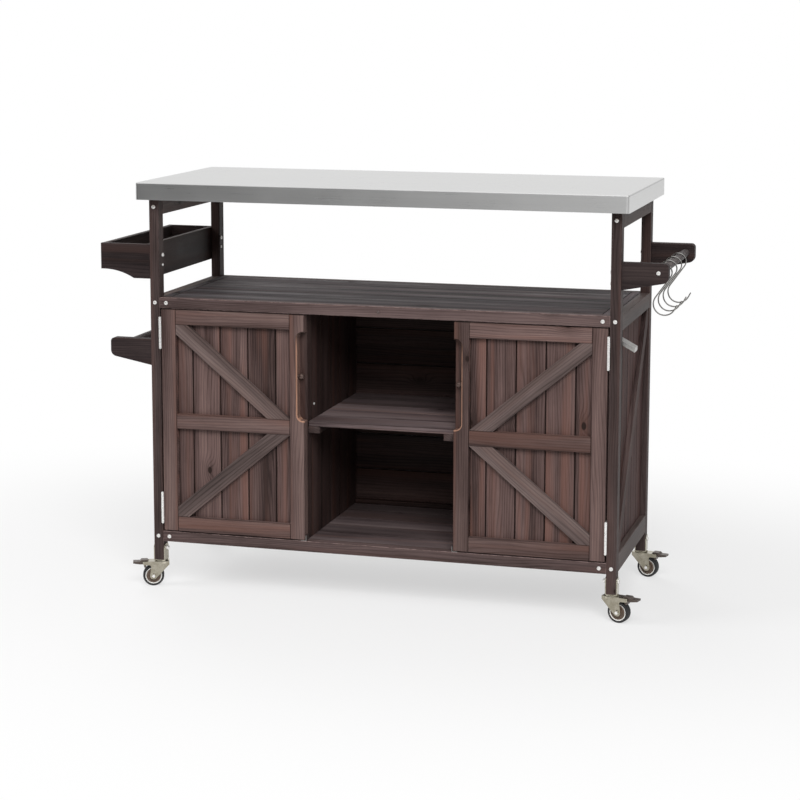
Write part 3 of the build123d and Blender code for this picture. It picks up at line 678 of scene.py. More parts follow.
@dataclass(frozen=True)
class StainedTimber:
    """Stained softwood: its tones from deep to pale, the red in it, and how it shines."""

    name: str
    deep: Colour
    middle: Colour
    pale: Colour
    red: Colour
    board_spread: float = 0.34
    red_share: float = 0.55
    rub: float = 0.2
    # How dark the eased edges go: partly stain in the joints, partly painted shade in the gaps.
    groove: float = 0.0
    dull: float = 0.66
    sleek: float = 0.46
    shine: float = 0.12

    stops = (0.08, 0.5, 0.95)
    rubbed_gain = 1.9
    knot_colour = (0.020, 0.012, 0.010)
    groove_colour = (0.008, 0.005, 0.004)
    bare_colour = (0.460, 0.255, 0.175)
    bare_span = (0.45, 1.0)
    bump = (0.35, 0.0006)

    def material(self, lay: Lay, cut: FingerCut | None = None) -> bpy.types.Material:
        """Makes the finish for boards laid one way.

        Args:
            lay: How the boards run.
            cut: A finger cut whose faces show barer wood.

        Returns:
            The material.
        """
        material, graph, shader = new_material(f"{self.name}_{lay.number:g}")
        spot = lay.grain(graph)
        values = {
            "Across": spot.across, "Depth": spot.depth, "Along": spot.along, "Seed": spot.seed,
        }
        grain = StainedGrain().put(graph, values)
        tones = (self.deep, self.middle, self.pale)
        stain = graph.ramp(grain["Tone"], list(zip(self.stops, tones)))
        stain = graph.mix(graph.times(grain["Warm"], self.red_share), stain, self.red)
        half = self.board_spread / 2
        shade = graph.ranged(graph.parts(spot.seed)[1], (1 - half, 1 + half))
        stain = graph.mix(1.0, stain, graph.grey(shade), "MULTIPLY")
        stain = graph.mix(grain["Knot"], stain, self.knot_colour)

        corner = graph.add("ShaderNodeTexCoord").outputs
        values = {"Normal": corner["Normal"], "Place": corner["Object"], "Amount": self.rub}
        rubbed = EdgeRub().put(graph, values)
        worn = tuple(min(1.0, self.rubbed_gain * c) for c in self.pale)
        stain = graph.mix(rubbed["Mask"], stain, worn)
        # Near-black eased edges: partly stain pooled in the joints, partly painted shade in the
        # gaps between boards and round the doors.
        stain = graph.mix(graph.times(rubbed["Edge"], self.groove), stain, self.groove_colour)
        if cut:
            bare = graph.mix(graph.ranged(grain["Tone"], self.bare_span), stain, self.bare_colour)
            stain = graph.mix(cut.mask(graph, corner["Normal"], rubbed["Edge"]), stain, bare)
        graph.feed(shader.inputs["Base Color"], stain)
        graph.feed(shader.inputs["Roughness"], graph.ranged(grain["Tone"], (self.sleek, self.dull)))
        shader.inputs["Specular IOR Level"].default_value = self.shine
        raise_surface(graph, shader, grain["Relief"], *self.bump)
        return material


@dataclass(frozen=True)
class BrushedSteel:
    """Bare sheet steel with belt lines along its length."""

    name: str
    colour: Colour
    roughness: float

    edge_tint = (0.84, 0.84, 0.84)
    haze_share = 0.6
    tint_span = (0.90, 1.06)
    rough_drop = 0.12
    line_rough = 0.14
    haze_rough = 0.10
    bump = (0.12, 0.0002)

    def material(self) -> bpy.types.Material:
        """Makes the finish.

        Returns:
            The material.
        """
        material, graph, shader = new_material(self.name)
        lines = BrushedLines().put(graph, {"Place": graph.place()})
        streak = graph.lerp(self.haze_share, lines["Line"], lines["Haze"])
        tint = graph.grey(graph.ranged(streak, self.tint_span))
        graph.feed(shader.inputs["Base Color"], graph.mix(1.0, self.colour, tint, "MULTIPLY"))
        rough = graph.total(
            self.roughness - self.rough_drop,
            graph.times(lines["Line"], self.line_rough),
            graph.times(lines["Haze"], self.haze_rough),
        )
        graph.feed(shader.inputs["Roughness"], rough)
        shader.inputs["Metallic"].default_value = 1.0
        shader.inputs["Specular Tint"].default_value = (*self.edge_tint, 1.0)
        raise_surface(graph, shader, lines["Line"], *self.bump)
        return material


@dataclass(frozen=True)
class PlatedMetal:
    """Small metalwork, plated or browned: two tones in patches, with specks and worn edges; on the
    zinc plate the pale edges are also a painted highlight.
    """

    name: str
    colour: Colour
    patch: Colour
    roughness: float
    metallic: float = 1.0
    grain: float = 260.0
    rub: float = 0.4
    relief: float = 0.10

    patch_span = (0.35, 0.68)
    worn_gain = 1.5
    worn_lift = 0.03
    worn_most = 0.9
    smoother = 0.08
    rougher = 0.10
    speck_rough = 0.12
    bump_step = 0.0002
    stain_reach = 0.05
    stain_colour = (0.150, 0.118, 0.112)

    def material(self, stained_middle: bool = False) -> bpy.types.Material:
        """Makes the finish.

        Args:
            stained_middle: Whether heads in the middle of the part were stained over with the wood.

        Returns:
            The material.
        """
        material, graph, shader = new_material(self.name)
        corner = graph.add("ShaderNodeTexCoord").outputs
        place = corner["Object"]
        mottle = Mottle().put(graph, {"Place": place, "Grain": self.grain})
        values = {"Normal": corner["Normal"], "Place": place, "Amount": self.rub}
        rubbed = EdgeRub().put(graph, values)
        worn = tuple(min(self.worn_most, self.worn_gain * c + self.worn_lift) for c in self.colour)
        colour = graph.mix(graph.span(mottle["Patch"], self.patch_span), self.colour, self.patch)
        # Paler eased edges: wear, and on the zinc plate also a painted highlight.
        colour = graph.mix(rubbed["Mask"], colour, worn)
        if stained_middle:
            offset = graph.math("ABSOLUTE", graph.parts(place)[0])
            middle = graph.math("LESS_THAN", offset, self.stain_reach)
            colour = graph.mix(middle, colour, self.stain_colour)
        graph.feed(shader.inputs["Base Color"], colour)
        span = (self.roughness - self.smoother, self.roughness + self.rougher)
        specks = graph.times(mottle["Speck"], self.speck_rough)
        rough = graph.total(graph.ranged(mottle["Patch"], span), specks)
        graph.feed(shader.inputs["Roughness"], rough)
        shader.inputs["Metallic"].default_value = self.metallic
        height = graph.minus(mottle["Patch"], mottle["Speck"])
        raise_surface(graph, shader, height, self.relief, self.bump_step)
        return material


@dataclass(frozen=True)
class MouldedCompound:
    """Moulded rubber or plastic: one tone with faint patches and a fine moulded grain."""

    name: str
    colour: Colour
    patch: Colour
    roughness: float
    grain: float = 420.0

    patch_span = (0.38, 0.66)
    smoother = 0.08
    rougher = 0.12
    bump = (0.15, 0.0002)

    def material(self) -> bpy.types.Material:
        """Makes the finish.

        Returns:
            The material.
        """
        material, graph, shader = new_material(self.name)
        mottle = Mottle().put(graph, {"Place": graph.place(), "Grain": self.grain})
        colour = graph.mix(graph.span(mottle["Patch"], self.patch_span), self.colour, self.patch)
        graph.feed(shader.inputs["Base Color"], colour)
        span = (self.roughness - self.smoother, self.roughness + self.rougher)
        graph.feed(shader.inputs["Roughness"], graph.ranged(mottle["Patch"], span))
        raise_surface(graph, shader, mottle["Speck"], *self.bump)
        return material


FRAME_STAIN = StainedTimber(
    "frame_stain", (0.022, 0.015, 0.014), (0.055, 0.039, 0.037), (0.096, 0.069, 0.065),
    (0.080, 0.045, 0.039), board_spread=0.2)
# The side rails' weathered grey stain, made paler as painted light for the light from above on the
# rails' upper faces.
RAIL_STAIN_AND_PAINTED_LIGHT = StainedTimber(
    "rail_stain_and_painted_light", (0.036, 0.028, 0.027), (0.106, 0.084, 0.079), (0.182, 0.150, 0.142),
    (0.135, 0.085, 0.074), red_share=0.4)
FRONT_STAIN = StainedTimber(
    "front_stain", (0.040, 0.027, 0.025), (0.099, 0.068, 0.065), (0.162, 0.116, 0.109),
    (0.125, 0.071, 0.062), red_share=0.5, board_spread=0.0, rub=0.7)
DOOR_STAIN = StainedTimber(
    "door_stain", (0.048, 0.030, 0.027), (0.110, 0.072, 0.066), (0.185, 0.126, 0.113),
    (0.160, 0.080, 0.062), board_spread=0.85, rub=0.0, groove=0.6)
BOARD_STAIN = StainedTimber(
    "board_stain", (0.037, 0.023, 0.021), (0.103, 0.066, 0.061), (0.185, 0.122, 0.109),
    (0.165, 0.080, 0.062), rub=0.0, groove=0.9)
SIDE_STAIN = StainedTimber(
    "side_stain", (0.034, 0.020, 0.019), (0.093, 0.059, 0.056), (0.162, 0.108, 0.099),
    (0.150, 0.072, 0.058), rub=0.0, groove=0.9, shine=0.02)
END_BRACE_STAIN = StainedTimber(
    "end_brace_stain", (0.035, 0.023, 0.022), (0.090, 0.062, 0.058), (0.150, 0.108, 0.100),
    (0.130, 0.071, 0.059), red_share=0.4, board_spread=0.1, rub=0.0, shine=0.03)
BRACE_STAIN = StainedTimber(
    "brace_stain", (0.044, 0.032, 0.030), (0.104, 0.076, 0.071), (0.178, 0.135, 0.125),
    (0.140, 0.084, 0.070), red_share=0.35, board_spread=0.24, rub=0.0)
DECK_STAIN = StainedTimber(
    "deck_stain", (0.024, 0.021, 0.023), (0.112, 0.103, 0.108), (0.295, 0.280, 0.286),
    (0.142, 0.098, 0.102), red_share=0.42, board_spread=0.6, rub=0.0, groove=0.75,
    sleek=0.60, dull=0.75, shine=0.05)
# The inside stain: darker than the frame stain, as painted shade for the deep, dim bay and the
# back.
INNER_STAIN_AND_PAINTED_SHADE = StainedTimber(
    "inner_stain_and_painted_shade", (0.016, 0.010, 0.009), (0.045, 0.029, 0.027), (0.088, 0.057, 0.051),
    (0.074, 0.034, 0.026), rub=0.0, groove=0.8)
FLOOR_STAIN = StainedTimber(
    "floor_stain", (0.040, 0.028, 0.028), (0.105, 0.080, 0.080), (0.180, 0.140, 0.136),
    (0.140, 0.080, 0.068), red_share=0.4, rub=0.0, groove=0.7)
SHELF_STAIN = StainedTimber(
    "shelf_stain", (0.060, 0.042, 0.042), (0.155, 0.118, 0.118), (0.265, 0.206, 0.200),
    (0.205, 0.118, 0.100), red_share=0.4, rub=0.0, groove=0.5)
RACK_STAIN = StainedTimber(
    "rack_stain", (0.011, 0.008, 0.008), (0.028, 0.020, 0.020), (0.056, 0.041, 0.039),
    (0.046, 0.026, 0.022))
ROD_STAIN = StainedTimber(
    "rod_stain", (0.050, 0.042, 0.042), (0.110, 0.094, 0.092), (0.180, 0.158, 0.152),
    (0.120, 0.085, 0.078), red_share=0.25)
CORE_WOOD = StainedTimber(
    "core_wood", (0.200, 0.140, 0.090), (0.330, 0.240, 0.160), (0.460, 0.350, 0.240),
    (0.360, 0.230, 0.140))

WORKTOP_STEEL = BrushedSteel("worktop_steel", (0.76, 0.76, 0.755), 0.30)
BRIGHT_STEEL = PlatedMetal(
    "bright_steel", (0.86, 0.85, 0.83), (0.80, 0.79, 0.77), 0.28, metallic=0.55, relief=0.03)
WIRE_STEEL = PlatedMetal(
    "wire_steel", (0.37, 0.36, 0.345), (0.27, 0.265, 0.255), 0.18, grain=500.0)
# Zinc plate; the full edge wear makes its rounded edges pale, partly wear and partly a painted
# highlight.
ZINC_PLATE_AND_EDGE_HIGHLIGHT = PlatedMetal(
    "zinc_plate_and_edge_highlight", (0.44, 0.410, 0.335), (0.34, 0.310, 0.240), 0.20, grain=90.0, rub=1.0,
    relief=0.012)
BROWNED_METAL = PlatedMetal(
    "browned_metal", (0.130, 0.103, 0.090), (0.085, 0.066, 0.057), 0.38, metallic=0.7)
KNOB_METAL = PlatedMetal(
    "knob_metal", (0.105, 0.068, 0.058), (0.078, 0.052, 0.045), 0.26, metallic=0.5)
STOP_STEEL = PlatedMetal("stop_steel", (0.36, 0.345, 0.335), (0.24, 0.23, 0.225), 0.34)
OPENER_METAL = PlatedMetal("opener_metal", (0.55, 0.54, 0.52), (0.42, 0.41, 0.40), 0.40)
TYRE_RUBBER = MouldedCompound("tyre_rubber", (0.013, 0.013, 0.014), (0.022, 0.021, 0.022), 0.62)
RING_PLASTIC = MouldedCompound("ring_plastic", (0.78, 0.77, 0.74), (0.70, 0.69, 0.66), 0.38)
HUB_PLASTIC = MouldedCompound("hub_plastic", (0.120, 0.080, 0.056), (0.088, 0.060, 0.044), 0.36)


def dress(node: str, material: bpy.types.Material) -> None:
    """Puts a material on every slot of a node.

    Args:
        node: The node's name.
        material: Its finish.
    """
    for slot in frame["nodes"][node].material_slots:
        slot.material = material
    log.info("%s wears %s", node, material.name)


def dress_boards(
    node: str, stain: StainedTimber, along: Axis, across: Axis, *rows: Row, number: float
) -> None:
    """Dresses a node of straight boards.

    Args:
        node: The node's name.
        stain: Its finish.
        along: The axis of the grain.
        across: The axis across the boards.
        *rows: The rows that tell the boards apart.
        number: The node's own number, from which its boards draw their tones.
    """
    dress(node, stain.material(StraightLay(along, across, rows, number)))


class Surface(NamedTuple):
    """Points in the part's frame and the faces between them."""

    points: np.ndarray
    faces: list[list[int]]


def grid_faces(rows: int, columns: int, row_loop: bool) -> np.ndarray:
    """Quads between neighbours on a grid whose rows are closed rings.

    Args:
        rows: The number of rings.
        columns: The number of points in a ring.
        row_loop: Whether the last ring joins the first.

    Returns:
        An array of four point numbers for each quad.
    """
    row = np.arange(rows if row_loop else rows - 1)[:, None] * columns
    column = np.arange(columns)[None, :]
    below, beside = (row + columns) % (rows * columns), (column + 1) % columns
    corners = (row + column, row + beside, below + beside, below + column)
    return np.stack(corners, -1).reshape(-1, 4)


def skinned(points: np.ndarray, row_loop: bool) -> Surface:
    """A closed surface over rings of points: quads between rings, and a cap on each loose end.

    The faces are turned round where the volume that they enclose comes out negative.

    Args:
        points: Rings of points, as rows by points by 3.
        row_loop: Whether the last ring joins the first.

    Returns:
        The surface, its faces turned outwards.
    """
    rows, columns, _ = points.shape
    flat = points.reshape(-1, 3)
    quads = grid_faces(rows, columns, row_loop)
    a, b, c, d = (flat[quads[:, i]] - flat.mean(0) for i in range(4))
    volume = np.einsum("ij,ij->", a, np.cross(b, c)) + np.einsum("ij,ij->", a, np.cross(c, d))
    faces = quads.tolist()
    if not row_loop:
        faces.append(np.arange(columns)[::-1].tolist())
        faces.append((np.arange(columns) + (rows - 1) * columns).tolist())
    if volume < 0:
        faces = [face[::-1] for face in faces]
    return Surface(flat, faces)


def turned(
    profile: np.ndarray, sides: int, origin: np.ndarray, axis: np.ndarray, row_loop: bool = False
) -> Surface:
    """A lathe surface: each profile row of radius and offset is swept round a level axis.

    Args:
        profile: Rows of radius and offset along the axis, in metres.
        sides: The number of points round the axis.
        origin: A point on the axis.
        axis: The axis's unit direction.
        row_loop: Whether the profile closes on itself, as a ring's does.

    Returns:
        The surface.
    """
    aside = np.cross((0.0, 0.0, 1.0), axis)
    first = aside / np.linalg.norm(aside)
    second = np.cross(axis, first)
    angle = np.linspace(0, 2 * np.pi, sides, endpoint=False)
    spokes = np.cos(angle)[:, None] * first + np.sin(angle)[:, None] * second
    points = origin + profile[:, 1, None, None] * axis + profile[:, 0, None, None] * spokes
    return skinned(points, row_loop)


def wire(path: np.ndarray, radius: float, sides: int, side: np.ndarray) -> Surface:
    """A round bar along a flat path: a circle carried along it, with a half ball at each end.

    Args:
        path: The centre line's points.
        radius: The bar's radius.
        sides: The number of points round the bar.
        side: The unit direction square to the path's plane.

    Returns:
        The surface.
    """
    ball_rings, ball_start = 6, 0.08
    tangent = np.gradient(path, axis=0)
    tangent /= np.linalg.norm(tangent, axis=1, keepdims=True)
    swing = np.linspace(ball_start, np.pi / 2, ball_rings)
    start = path[0] - radius * np.cos(swing)[:, None] * tangent[0]
    end = path[-1] + radius * np.cos(swing[::-1])[:, None] * tangent[-1]
    first, last = (np.repeat(t, ball_rings, 0) for t in (tangent[:1], tangent[-1:]))
    centres = np.vstack([start, path[1:-1], end])
    ways = np.vstack([first, tangent[1:-1], last])
    girth = radius * np.concatenate([np.sin(swing), np.ones(len(path) - 2), np.sin(swing[::-1])])
    normal = np.cross(side, ways)
    angle = np.linspace(0, 2 * np.pi, sides, endpoint=False)
    ring = np.cos(angle)[:, None] * normal[:, None, :] + np.sin(angle)[:, None] * side
    return skinned(centres[:, None, :] + girth[:, None, None] * ring, False)


def arc(centre: Span, radius: float, start: float, end: float, count: int) -> np.ndarray:
    """Points on a circle between two angles in degrees, as rows of two numbers."""
    angle = np.radians(np.linspace(start, end, count))
    return np.stack([centre[0] + radius * np.cos(angle), centre[1] + radius * np.sin(angle)], -1)


def new_piece(
    name: str, surface: Surface, material: bpy.types.Material, body: str,
    crease: float = 40.0,
) -> bpy.types.Object:
    """Makes a piece from a surface and lets it ride on a body.

    Args:
        name: The piece's name.
        surface: Its points and faces.
        material: Its finish.
        body: The body that it rides on.
        crease: The angle in degrees past which an edge stays sharp.

    Returns:
        The piece.
    """
    mesh = bpy.data.meshes.new(name)
    mesh.from_pydata(surface.points.tolist(), [], surface.faces)
    mesh.polygons.foreach_set("use_smooth", np.ones(len(mesh.polygons), bool))
    mesh.set_sharp_from_angle(angle=math.radians(crease))
    mesh.materials.append(material)
    piece = bpy.data.objects.new(name, mesh)
    bpy.context.scene.collection.objects.link(piece)
    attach(piece, body)
    log.info("%s: %d faces on %s", name, len(mesh.polygons), body)
    return piece


@dataclass(frozen=True)
class Worktop:
    """The folded steel top over its timber core."""

    core_board: float = 0.094
    core_start: float = -0.5

    def finish(self) -> None:
        """Dresses the skin and the core under it."""
        dress("worktop_skin", WORKTOP_STEEL.material())
        core = Row(Axis.Y, self.core_board, self.core_start)
        dress_boards("worktop_core", CORE_WOOD, Axis.X, Axis.Y, core, number=1)


@dataclass(frozen=True)
class Carcass:
    """Posts, rails and the boards that close the ends, back, deck and floor."""

    rail_step: float = 0.25
    deck_pitch: float = 0.0732
    deck_start: float = -0.183
    side_pitch: float = 0.0708
    side_start: float = -0.177
    back_pitch: float = 0.085
    back_start: float = 0.130
    brace_rise: float = 0.484
    brace_run: float = 0.354

    def finish(self) -> None:
        """Dresses each timber with its grain along its length."""
        ends, depths = Row(Axis.X), Row(Axis.Y)
        levels = Row(Axis.Z, self.rail_step)
        deck = Row(Axis.Y, self.deck_pitch, self.deck_start)
        side = Row(Axis.Y, self.side_pitch, self.side_start)
        back = Row(Axis.Z, self.back_pitch, self.back_start)
        dress_boards("posts", FRAME_STAIN, Axis.Z, Axis.X, ends, depths, number=2)
        dress_boards("side_rails", RAIL_STAIN_AND_PAINTED_LIGHT, Axis.Y, Axis.Z, ends, levels, number=3)
        dress_boards("front_rails", FRONT_STAIN, Axis.X, Axis.Z, levels, number=130)
        dress_boards("rear_rails", FRAME_STAIN, Axis.X, Axis.Z, levels, number=5)
        dress_boards("end_strips", DECK_STAIN, Axis.Y, Axis.X, ends, levels, number=6)
        dress_boards("deck_boards", DECK_STAIN, Axis.X, Axis.Y, deck, number=7)
        dress_boards("floor_boards", FLOOR_STAIN, Axis.X, Axis.Y, deck, number=8)
        dress_boards("side_boards", SIDE_STAIN, Axis.Z, Axis.Y, side, ends, number=9)
        angle = math.atan2(self.brace_rise, self.brace_run)
        braces = DiagonalLay(Axis.Y, angle, 0.0, slope_below=1.0, slope_above=1.0, number=10)
        dress("side_braces", END_BRACE_STAIN.material(braces))
        # The back boards and cleat wear the inside stain, darkened as painted shade.
        dress_boards("back_boards", INNER_STAIN_AND_PAINTED_SHADE, Axis.X, Axis.Z, back, number=11)
        dress_boards("back_cleat", INNER_STAIN_AND_PAINTED_SHADE, Axis.X, Axis.Z, number=12)


@dataclass(frozen=True)
class CentreBay:
    """The open bay between the doors: two partitions and a shelf on cleats."""

    partition_pitch: float = 0.0687
    partition_start: float = -0.1605
    shelf_pitch: float = 0.0731
    shelf_start: float = -0.1825

    def finish(self) -> None:
        """Dresses the bay's boards, the partitions in the inside stain, darkened as painted shade.
        """
        ends = Row(Axis.X)
        uprights = Row(Axis.Y, self.partition_pitch, self.partition_start)
        shelf = Row(Axis.Y, self.shelf_pitch, self.shelf_start)
        dress_boards("partitions", INNER_STAIN_AND_PAINTED_SHADE, Axis.Z, Axis.Y, uprights, ends, number=13)
        dress_boards("shelf_boards", SHELF_STAIN, Axis.X, Axis.Y, shelf, number=14)
        dress_boards("shelf_cleats", FRAME_STAIN, Axis.Y, Axis.Z, ends, number=15)


class DoorNumbers(NamedTuple):
    """The numbers from which a door's frame, braces and boards draw their tones."""

    frame: float
    braces: float
    boards: float


@dataclass(frozen=True)
class Door:
    """A barn-style door with its frame, braces, boards, knob and hinge leaves."""

    side: Side
    centre: float = 0.33725
    rail_half: float = 0.13375
    rail_pitch: float = 0.17
    middle_height: float = 0.385
    board_pitch: float = 0.065
    boards_before_centre: float = 1.5
    brace_rise: float = 0.202
    brace_run: float = 0.2675
    brace_half: float = 0.017

    numbers = {Side.LEFT: DoorNumbers(912, 16, 17), Side.RIGHT: DoorNumbers(719, 26, 27)}

    @property
    def brace_angle(self) -> float:
        """The braces' slope: that of the corners' line, and the turn that puts an edge on it."""
        turn = math.asin(self.brace_half / math.hypot(self.brace_rise, self.brace_run))
        return math.atan2(self.brace_rise, self.brace_run) + turn

    def finish(self) -> None:
        """Dresses the door's nodes."""
        name = f"{self.side.word}_door"
        numbers = self.numbers[self.side]
        outward = float(self.side.value)
        centre = outward * self.centre
        lay = DoorFrameLay(centre, self.rail_half, self.rail_pitch, numbers.frame)
        dress(f"{name}_frame", DOOR_STAIN.material(lay, FingerCut()))
        braces = DiagonalLay(
            Axis.X, self.brace_angle, self.middle_height, -outward, outward, numbers.braces)
        dress(f"{name}_braces", BRACE_STAIN.material(braces))
        start = centre - self.boards_before_centre * self.board_pitch
        boards = Row(Axis.X, self.board_pitch, start)
        dress_boards(f"{name}_boards", BOARD_STAIN, Axis.Z, Axis.X, boards, number=numbers.boards)
        dress(f"{name}_knob", KNOB_METAL.material())
        dress(f"{name}_hinge_leaves", BRIGHT_STEEL.material())


@dataclass(frozen=True)
class SpiceRack:
    """The tray on the left end."""

    def finish(self) -> None:
        """Dresses the tray's boards."""
        dress_boards("rack_ends", RACK_STAIN, Axis.X, Axis.Z, Row(Axis.Y), number=30)
        dress_boards("rack_outer_board", RACK_STAIN, Axis.Y, Axis.Z, number=31)
        dress_boards("rack_inner_board", RACK_STAIN, Axis.Y, Axis.Z, number=32)
        dress_boards("rack_floor", RACK_STAIN, Axis.Y, Axis.X, number=33)


@dataclass(frozen=True)
class RodRail:
    """Two arms with a rod between them."""

    name: str
    number: float

    def finish(self) -> None:
        """Dresses the arms and the rod."""
        arms, rod = f"{self.name}_arms", f"{self.name}_rod"
        dress_boards(arms, RACK_STAIN, Axis.X, Axis.Z, Row(Axis.Y), number=self.number)
        dress_boards(rod, ROD_STAIN, Axis.Y, Axis.X, number=self.number + 1)


@dataclass(frozen=True)
class WireHook:
    """One wire hook on the rod: a loop over the rod, a straight run and an open bend."""

    number: int
    wire_radius: float = 0.0015
    loop_centre: Span = (0.608, 0.7513)
    loop_radius: float = 0.0175
    loop_start: float = 145.0
    loop_tail: float = 0.014
    bend_centre: Span = (0.6108, 0.6838)
    bend_radius: float = 0.024
    bend_end: float = -28.0
    bend_tail: float = 0.010

    wire_sides = 16
    loop_points = 40
    bend_points = 48
    shank_points = 12
    tail_points = 5
    tail_nearest = 0.2

    def build(self, material: bpy.types.Material) -> None:
        """Carries a circle along the hook's line and stands it for the plain solid.

        Args:
            material: The wire's finish.
        """
        low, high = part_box(f"hook_{self.number}")
        path = self.line()
        points = np.stack([path[:, 0], np.full(len(path), (low.y + high.y) / 2), path[:, 1]], -1)
        surface = wire(points, self.wire_radius, self.wire_sides, np.array((0.0, 1.0, 0.0)))
        name, body = f"hook_wire_{self.number}", f"hook_{self.number}"
        piece = new_piece(name, surface, material, body)
        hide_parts(f"hook_{self.number}")

    def line(self) -> np.ndarray:
        """The hook's centre line: two arcs joined by the line that touches both on opposite sides.

        Returns:
            Its points, as rows of X and Z.
        """
        span = np.subtract(self.bend_centre, self.loop_centre)
        lean = math.acos((self.loop_radius + self.bend_radius) / np.hypot(*span))
        touch = math.degrees(math.atan2(span[1], span[0]) + lean)
        loop = arc(self.loop_centre, self.loop_radius, self.loop_start, touch, self.loop_points)
        bend = arc(
            self.bend_centre, self.bend_radius, touch + 180, 360 + self.bend_end, self.bend_points)
        steps = np.linspace(0, 1, self.shank_points)[1:-1, None]
        shank = loop[-1] + steps * (bend[0] - loop[-1])
        before = self.tail(loop[0], self.loop_start, self.loop_tail)
        after = self.tail(bend[-1], self.bend_end, self.bend_tail)
        return np.vstack([before, loop, shank, bend, after[::-1]])

    def tail(self, end: np.ndarray, angle: float, length: float) -> np.ndarray:
        """A straight run off the end of an arc, along its tangent.

        Args:
            end: The arc's end.
            angle: The arc's angle there, in degrees.
            length: How long the run is.

        Returns:
            Its points from the tip inwards, as rows of X and Z.
        """
        turn = math.radians(angle)
        way = np.array((-math.sin(turn), math.cos(turn)))
        return end + np.linspace(1, self.tail_nearest, self.tail_points)[:, None] * length * way


@dataclass(frozen=True)
class Caster:
    """One braked caster: its saddle's fork, pedal and wheel."""

    corner: str
    wheel_radius: float = 0.024
    wheel_half: float = 0.010
    tyre_round: float = 0.004
    tyre_bead: float = 0.0006
    groove_depth: float = 0.0005
    ring_outer: float = 0.0192
    ring_sink: float = 0.0012
    ring_round: float = 0.0005
    ring_dish: float = 0.0006
    hub_outer: float = 0.0166
    fork_half: float = 0.013
    nut_radius: float = 0.0054
    nut_height: float = 0.0032

    wheel_sides = 64
    shoulder_points = 9
    nut_sides = 6
    nut_crease = 20.0
    groove_offsets = (0.0042, 0.0038, 0.0032, 0.0028)
    hub_rim_sink = 0.0022
    hub_steps = (
        (0.0150, 0.0026), (0.0138, 0.0018), (0.0126, 0.0018), (0.0118, 0.0030), (0.0092, 0.0032),
        (0.0084, 0.0022), (0.0074, 0.0020), (0.0066, 0.0006), (0.0052, 0.0004), (0.0031, 0.0006),
    )
    nut_steps = ((1.0, 0.0), (1.0, 0.74), (0.90, 0.90), (0.55, 1.0), (0.10, 1.02))

    def axle(self) -> tuple[np.ndarray, np.ndarray]:
        """The middle of the wheel's axle and its direction, from the wheel's joint.

        Returns:
            A point and a unit direction.
        """
        joint = next(j for j in frame["joints"] if j["child"] == f"{self.corner}_wheel")
        low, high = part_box(f"{self.corner}_wheel")
        direction = np.array(joint["axis"], float)
        return (np.array(low) + np.array(high)) / 2, direction / np.linalg.norm(direction)

    def build(
        self, rubber: bpy.types.Material, ring: bpy.types.Material, hub: bpy.types.Material,
        nut: bpy.types.Material,
    ) -> None:
        """Turns the tyre, the pale ring, the hub and the axle nuts.

        Args:
            rubber: The tyre's finish.
            ring: The pale ring's finish.
            hub: The hub's finish.
            nut: The axle nuts' finish.
        """
        middle, axis = self.axle()
        body, mount = f"{self.corner}_wheel", f"{self.corner}_swivel"
        lathe = partial(turned, sides=self.wheel_sides, origin=middle, axis=axis, row_loop=True)
        tyre = new_piece(f"{self.corner}_tyre", lathe(self.tyre_profile()), rubber, body)
        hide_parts(f"{self.corner}_wheel")
        new_piece(f"{self.corner}_ring", lathe(self.ring_profile()), ring, body)
        new_piece(f"{self.corner}_hub", lathe(self.hub_profile()), hub, body)
        for way, word in ((1, "outer"), (-1, "inner")):
            seat = middle + way * self.fork_half * axis
            surface = turned(self.nut_profile(), self.nut_sides, seat, way * axis)
            name = f"{self.corner}_{word}_nut"
            new_piece(name, surface, nut, mount, self.nut_crease)

    def tyre_profile(self) -> np.ndarray:
        """A crowned tread with rounded shoulders and two thin grooves, closed by the inner bore.

        Returns:
            Rows of radius and offset.
        """
        r, h, e = self.wheel_radius, self.wheel_half, self.tyre_round
        right = arc((r - e, h - e), e, 90, 0, self.shoulder_points)
        left = arc((r - e, -h + e), e, 0, -90, self.shoulder_points)
        floor = r - self.groove_depth
        groove = np.stack([(r, floor, floor, r), self.groove_offsets], -1)
        mirror = groove[::-1] * (1, -1)
        edge = h - self.tyre_bead
        inner = np.array([(self.ring_outer, -edge), (self.ring_outer, edge)])
        return np.vstack([right, groove, mirror, left, inner])

    def ring_profile(self) -> np.ndarray:
        """A flat ring, a little dished towards the hub, on both faces.

        Returns:
            Rows of radius and offset.
        """
        h, high, e = self.wheel_half - self.ring_sink, self.ring_outer, self.ring_round
        face = np.array([(high, h - e), (high - e, h), (self.hub_outer, h - self.ring_dish)])
        return np.vstack([face[::-1] * (1, -1), face])

    def hub_profile(self) -> np.ndarray:
        """A dished face with two raised rings and a boss round the axle, the same on both faces.

        Returns:
            Rows of radius and offset.
        """
        steps = np.array([(self.hub_outer, self.hub_rim_sink), *self.hub_steps])
        face = np.stack([steps[:, 0], self.wheel_half - steps[:, 1]], -1)
        return np.vstack([face, face[::-1] * (1, -1)])

    def nut_profile(self) -> np.ndarray:
        """A six-sided nut with a domed end; returns rows of radius and offset."""
        return np.array(self.nut_steps) * (self.nut_radius, self.nut_height)

    def finish(self, zinc: bpy.types.Material, brown: bpy.types.Material) -> None:
        """Dresses the fork and the pedal.

        Args:
            zinc: The fork's finish, zinc plate with a painted highlight on its edges.
            brown: The pedal's finish.
        """
        dress(f"{self.corner}_fork", zinc)
        dress(f"{self.corner}_pedal", brown)


